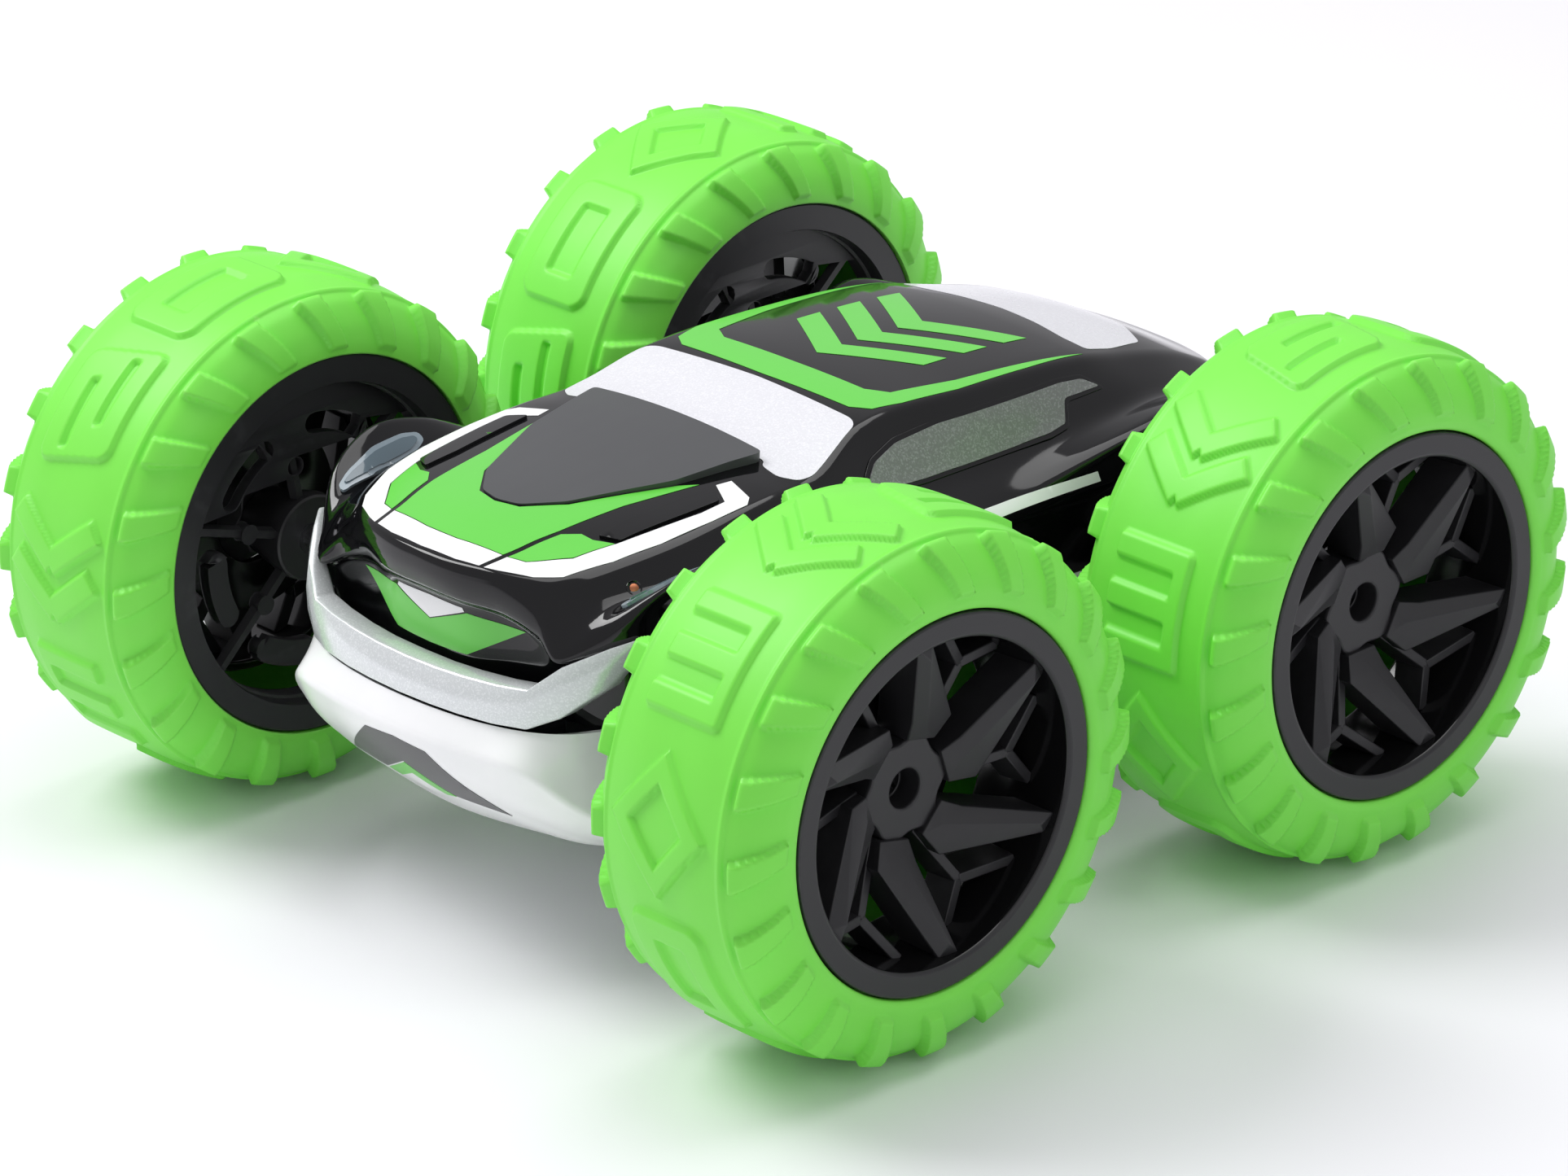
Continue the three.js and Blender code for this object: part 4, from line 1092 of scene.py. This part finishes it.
# %% Mirrored outlines
def both_sides(half):
    """Closes a half outline, drawn on the left from the middle line forward to back, by mirroring it."""
    return half + [(-a, b) for a, b in reversed(half) if a > 0.01]


def mirrored(points):
    return [(-a, b) for a, b in points]


def soft_corners(points, radius, steps=3):
    """Cuts each corner of an outline with a short curve."""
    result = []
    for i, corner in enumerate(points):
        before, after = points[i - 1], points[(i + 1) % len(points)]
        ends = []
        for other in (before, after):
            length = math.dist(corner, other)
            t = min(radius / length, 0.45)
            ends.append((corner[0] + (other[0] - corner[0]) * t, corner[1] + (other[1] - corner[1]) * t))
        for k in range(steps + 1):
            t = k / steps
            result.append(tuple((1 - t) ** 2 * ends[0][j] + 2 * t * (1 - t) * corner[j] + t * t * ends[1][j]
                                for j in (0, 1)))
    return result


# %% Bonnet panel and vents
BONNET_PANEL = soft_corners(both_sides([(0, -70.3), (5.0, -69.2), (10.8, -63.2), (19.2, -44.8), (22.4, -26.8),
                                        (21.8, -26.2), (0, -26.2)]), 1.2)
VENT = soft_corners([(23.2, -67.0), (23.0, -59.5), (25.0, -40.4), (28.9, -42.6), (28.5, -49.3),
                     (27.0, -65.2)], 0.8)


def panel_rise(a, b):
    """The panel is flush at its nose and stands proud at the windscreen."""
    return 1.7 * max(0.0, (b + 70.3) / 44.1) ** 1.3


panel = laid_sheet("raised_bonnet_panel", BONNET_PANEL, "top", SHELLS, scoop_grey, high=0.35, step=1.5,
                   bevel=0.3, rise=panel_rise)
place_piece(panel, "body", "scoop_grey", "bonnet_scoop")
for tag, outline in (("left", VENT), ("right", mirrored(VENT))):
    vent = laid_sheet("bonnet_vent_" + tag, outline, "top", SHELLS, shell_black, high=0.55, step=1.4,
                      bevel=0.3)
    place_piece(vent, "body", "shell_black")

# %% Side windows
SIDE_WINDOW = soft_corners([(-12.2, 24.7), (-10.6, 27.2), (-8.2, 29.2), (-2, 31.0), (9, 31.7), (41, 30.7),
                            (47, 29.9), (50.8, 27.8), (40.8, 28.2), (38.6, 24.4), (34, 23.9), (2, 24.0)], 0.9)
WINDOW_LIP = soft_corners([(-13.4, 24.2), (-11.6, 27.6), (-8.8, 30.0), (-2.2, 31.9), (9, 32.5), (41.4, 31.5),
                           (47.6, 30.6), (52.2, 27.2), (41.6, 27.4), (39.4, 23.8), (34, 23.2),
                           (2, 23.3)], 0.9)
for tag in ("left", "right"):
    lip = laid_sheet("side_window_lip_" + tag, WINDOW_LIP, tag, SHELLS, shell_black, high=0.3, step=1.5,
                     bevel=0.14)
    place_piece(lip, "body", "shell_black")
    window = laid_sheet("side_window_panel_" + tag, SIDE_WINDOW, tag, SHELLS, window_grey, high=0.62,
                        step=1.5, bevel=0.2)
    place_piece(window, "body", "window_grey", "side_window_" + tag)

# %% Headlamps
LAMP = soft_corners([(37.6, -74.6), (38.2, -70), (39.3, -62), (40.2, -55.6), (41.8, -51.8), (43.2, -52.2),
                     (43.5, -56), (42.7, -64), (40.6, -71.4), (39.2, -74.6)], 0.9)
LAMP_CORE = soft_corners([(38.7, -73.2), (39.4, -68), (40.3, -61.8), (41.0, -56.0), (42.0, -53.4),
                          (42.7, -53.8), (42.8, -57), (42.0, -64), (40.2, -70.8), (39.3, -73.2)], 0.7)


def lamp_rise(a, b):
    return 0.4 * math.exp(-(((b + 63) / 11) ** 2))


for tag, flip in (("left", False), ("right", True)):
    rim_line, core_line = (mirrored(LAMP), mirrored(LAMP_CORE)) if flip else (LAMP, LAMP_CORE)
    lamp_rim = laid_sheet("headlamp_lens_" + tag, rim_line, "top", SHELLS, lens, high=0.5, step=0.9,
                          bevel=0.2, rise=lamp_rise)
    place_piece(lamp_rim, "body", "lamp_clear", "headlamp_" + tag)
    core = laid_sheet("headlamp_dome_" + tag, core_line, "top", SHELLS, lens_core, low=0.3, high=0.85,
                      step=0.9, bevel=0.2, rise=lamp_rise)
    place_piece(core, "body", "lamp_clear")
print("panels laid on the shells")


# %% Wing screw
def disc_rings(profile, columns=20):
    """Rings of (radius, height) about Z."""
    turns = [2 * math.pi * k / columns for k in range(columns)]
    return [[(r * math.cos(turn), r * math.sin(turn), z) for turn in turns] for r, z in profile]


def wing_screw(x, y):
    """The copper coloured screw inside a small raised collar on the left wing."""
    place, normal = drop_on(x, y, "top", SHELLS)
    drawing = Drawing()
    drawing.add(*loft(disc_rings([(1.5, 0.02), (1.4, 0.16), (1.15, 0.08), (1.05, -0.25)])), 0)
    drawing.add(*loft(disc_rings([(1.0, -0.3), (0.98, -0.02), (0.7, 0.07), (0.02, 0.1)])), 1)
    upright = Matrix.Translation(place) @ normal.to_track_quat("Z", "Y").to_matrix().to_4x4()
    screw = drawing.piece("wing_screw", [shell_black, copper], upright @ Matrix.Scale(MM, 4))
    sharp_shading(screw, 40)
    return screw


place_piece(wing_screw(35.2, -69.2), "body", "shell_black")


# %% [markdown]
# ## Stickers
# The colours come from die-cut vinyl: a white band round the bonnet, a green V, a green roof frame,
# silver foil on the screens. They could be painted into the shell's material with masks, but a cut
# sticker has a real edge. So each one is a very thin closed sheet, laid on like the panels; black
# gaps between white pieces are simply the shell showing through.

# %% Bonnet stickers
WHITE_FRONT = both_sides([(0, -88.2), (8.6, -87.7), (13.7, -86.6), (14.6, -81.9), (4, -83.4), (0, -83.5)])
WHITE_SIDE = [(14.8, -86.4), (17.4, -85.4), (23.2, -82.2), (26.8, -78.4), (30.5, -69.8), (32.3, -60),
              (32.8, -48), (32.6, -39.4), (31.0, -37.4), (24.6, -35.8), (24.0, -39.0), (29.4, -41.9),
              (29.6, -47.8), (28.3, -58.5), (27.2, -65.8), (24.8, -74.2), (19.2, -80.4), (15.7, -81.7)]
GREEN_V = both_sides([(0, -83.3), (4, -83.2), (14.6, -81.7), (17.0, -70.4), (18.6, -56.5), (21.9, -41.2),
                      (19.6, -44.4), (11.4, -63.2), (5.4, -69.6), (0, -70.8)])
GREEN_PATCH = [(15.8, -81.5), (19.1, -80.2), (24.6, -74.0), (26.9, -66.2), (23.4, -68.2), (20.6, -68.4),
               (18.0, -71.0)]
SLOTS = {sticker_green: "tyre_rubber", sticker_dark: "scoop_grey", foil_silver: "window_grey",
         sticker_white: "shell_white"}


def sticker(name, outline, view, material):
    piece = laid_sheet(name, outline, view, SHELLS, material, high=0.1, step=1.5)
    return place_piece(piece, "body", SLOTS[material])


sticker("sticker_bonnet_white_front", WHITE_FRONT, "top", sticker_white)
sticker("sticker_bonnet_green_v", GREEN_V, "top", sticker_green)
for tag, turn_over in (("left", list), ("right", mirrored)):
    sticker("sticker_bonnet_white_" + tag, turn_over(WHITE_SIDE), "top", sticker_white)
    sticker("sticker_bonnet_green_" + tag, turn_over(GREEN_PATCH), "top", sticker_green)

# %% Screens and roof
WINDSCREEN = soft_corners(both_sides([(0, -25.4), (22.8, -25.9), (23.6, -27.4), (28.2, -28.0), (31.6, -25.8),
                                      (32.0, -22.6), (28.2, -8.6), (26.0, -7.2), (0, -6.4)]), 1.2)
REAR_SCREEN = soft_corners(both_sides([(0, 57.4), (10, 56.6), (18.5, 55.0), (24.8, 55.2), (24.4, 62),
                                       (21.4, 73), (11, 79.4), (0, 80.6)]), 1.2)
ROOF_SIDE = [(23.0, 5.6), (27.6, 4.0), (28.5, 17.5), (28.0, 36), (26.9, 52.0), (26.4, 40), (25.4, 20)]
ROOF_PIECES = {
    "front": both_sides([(0, -5.0), (22.4, -4.4), (26.0, -2.0), (27.6, 4), (23.0, 5.6), (18.8, 3.0),
                         (0, 2.8)]),
    "left": ROOF_SIDE,
    "right": mirrored(ROOF_SIDE),
}
CHEVRON = both_sides([(0, 0), (17, 11), (17, 17), (0, 6.4)])


def shifted(points, back):
    return [(a, b + back) for a, b in points]


sticker("sticker_windscreen", WINDSCREEN, "top", foil_silver)
sticker("sticker_rear_screen", REAR_SCREEN, "top", foil_silver)
for tag, outline in ROOF_PIECES.items():
    sticker("sticker_roof_" + tag, outline, "top", sticker_green)
for number, start in enumerate([9.0, 19.5, 30.0], 1):
    sticker(f"sticker_roof_arrow_{number}", shifted(CHEVRON, start), "top", sticker_green)

# %% Sills and nose
SILL = [(-14, 16.0), (13, 16.2), (37.2, 16.7), (37.0, 18.5), (13, 18.0), (-14, 17.9)]
NOSE_GREEN = both_sides([(0, 7.6), (9.4, 7.9), (21.8, 15.0), (9.6, 15.9), (0, 12.2)])
NOSE_WHITE = both_sides([(0, 12.4), (9.0, 16.0), (8.6, 16.7), (0, 16.9)])
CHIN_DARK = both_sides([(0, -7.7), (8.2, -8.4), (21.6, -19.4), (9.4, -18.6), (0, -13.4)])
CHIN_GREEN = both_sides([(0, -13.7), (9.2, -18.9), (6.2, -19.6), (0, -16.4)])
for tag in ("left", "right"):
    sticker("sticker_sill_" + tag, SILL, tag, sticker_white)
for end in ("nose", "tail"):
    sticker(f"sticker_{end}_green", NOSE_GREEN, end, sticker_green)
    sticker(f"sticker_{end}_white", NOSE_WHITE, end, sticker_white)
    sticker(f"sticker_{end}_chin_dark", CHIN_DARK, end, sticker_dark)
    sticker(f"sticker_{end}_chin_green", CHIN_GREEN, end, sticker_green)


# %% [markdown]
# ## Pieces that keep their CAD shape
# Motors, gears, axles, screws, boards and the inner frame are already the right shape, so they only
# need honest materials: nylon gears, turned steel, brass pinions and a shrink-wrapped battery.

# %% Finishes for the inner pieces
KEPT = {
    "axle_gear": nylon, "double_gear": nylon, "idler_gear": nylon, "axle": steel, "wheel_screw": steel,
    "motor": steel, "pinion": brass, "gearbox": frame_grey, "chassis_frame": frame_grey,
    "battery_pack": wrap_blue, "battery_door": shell_white, "circuit_board": board,
    "power_switch": frame_grey, "switch_body": steel,
}
for name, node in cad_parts.items():
    fitting = [start for start in KEPT if name.startswith(start)]
    if fitting and not node.hide_render:
        node.data.materials.clear()
        node.data.materials.append(KEPT[max(fitting, key=len)])
print("kept CAD nodes", sum(not node.hide_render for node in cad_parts.values()))


# %% [markdown]
# ## Floor, light and camera
# A white sweep and soft boxes, as for a catalogue picture. The main light stands high on the side
# of the treads, so that pads and lugs cast small shadows, and the room itself fills the rest.

# %% Floor and light
def build_floor():
    material, tree, bsdf = blank_material("white sweep")
    place = put(tree, "ShaderNodeTexCoord").outputs["Object"]
    cloud = put(tree, "ShaderNodeTexNoise", [("Vector", place), ("Scale", 3.0)])
    tone = put(tree, "ShaderNodeMix", [(0, cloud.outputs[0]), (6, paint(240, 239, 243)),
                                       (7, paint(247, 246, 250))], data_type="RGBA")
    tree.links.new(tone.outputs[2], bsdf.inputs["Base Color"])
    bsdf.inputs["Roughness"].default_value = 0.45
    half = 6000
    floor = new_piece("floor", [(-half, -half, 0), (half, -half, 0), (half, half, 0), (-half, half, 0)],
                      [(0, 1, 2, 3)], [material], Matrix.Scale(MM, 4))


def soft_box(name, place, aim, size, power, colour=(1, 1, 1)):
    light = bpy.data.lights.new(name, "AREA")
    light.shape = "SQUARE"
    light.size = size
    light.energy = power
    light.color = colour
    lamp = bpy.data.objects.new(name, light)
    lamp.location = place
    lamp.rotation_euler = (Vector(aim) - Vector(place)).to_track_quat("-Z", "Y").to_euler()
    bpy.context.scene.collection.objects.link(lamp)


build_floor()
CAR_MIDDLE = (0, 0, AXLE_HEIGHT)
soft_box("key", (-0.75, -0.45, 1.15), CAR_MIDDLE, 0.7, 13)
soft_box("top", (0.05, 0.35, 1.35), CAR_MIDDLE, 1.0, 7)
soft_box("fill", (1.1, -0.2, 0.7), CAR_MIDDLE, 0.9, 1.5)
room = bpy.data.worlds.new("room")
room.use_nodes = True
room.node_tree.nodes["Background"].inputs["Color"].default_value = (0.93, 0.92, 0.96, 1)
room.node_tree.nodes["Background"].inputs["Strength"].default_value = 0.52
bpy.context.scene.world = room
bpy.context.scene.view_settings.view_transform = "Standard"

# %% Camera
CAMERA_AZIMUTH, CAMERA_ELEVATION, CAMERA_ROLL = 46.73, 22.88, -0.5
CAMERA_PLACE = Vector((881.65, -829.85, 503.3)) * MM + Vector((0, 0, AXLE_HEIGHT))


def look_direction(azimuth, elevation):
    a, e = math.radians(azimuth), math.radians(elevation)
    return Vector((-math.sin(a) * math.cos(e), math.cos(a) * math.cos(e), -math.sin(e)))


camera_data = bpy.data.cameras.new("camera")
camera_data.lens = 161.16
camera_data.sensor_width = 36
camera_data.clip_start = 0.05
camera = bpy.data.objects.new("camera", camera_data)
facing = look_direction(CAMERA_AZIMUTH, CAMERA_ELEVATION).to_track_quat("-Z", "Y").to_matrix().to_4x4()
rolled = facing @ Matrix.Rotation(math.radians(CAMERA_ROLL), 4, "Z")
camera.matrix_world = Matrix.Translation(CAMERA_PLACE) @ rolled
bpy.context.scene.collection.objects.link(camera)
bpy.context.scene.camera = camera
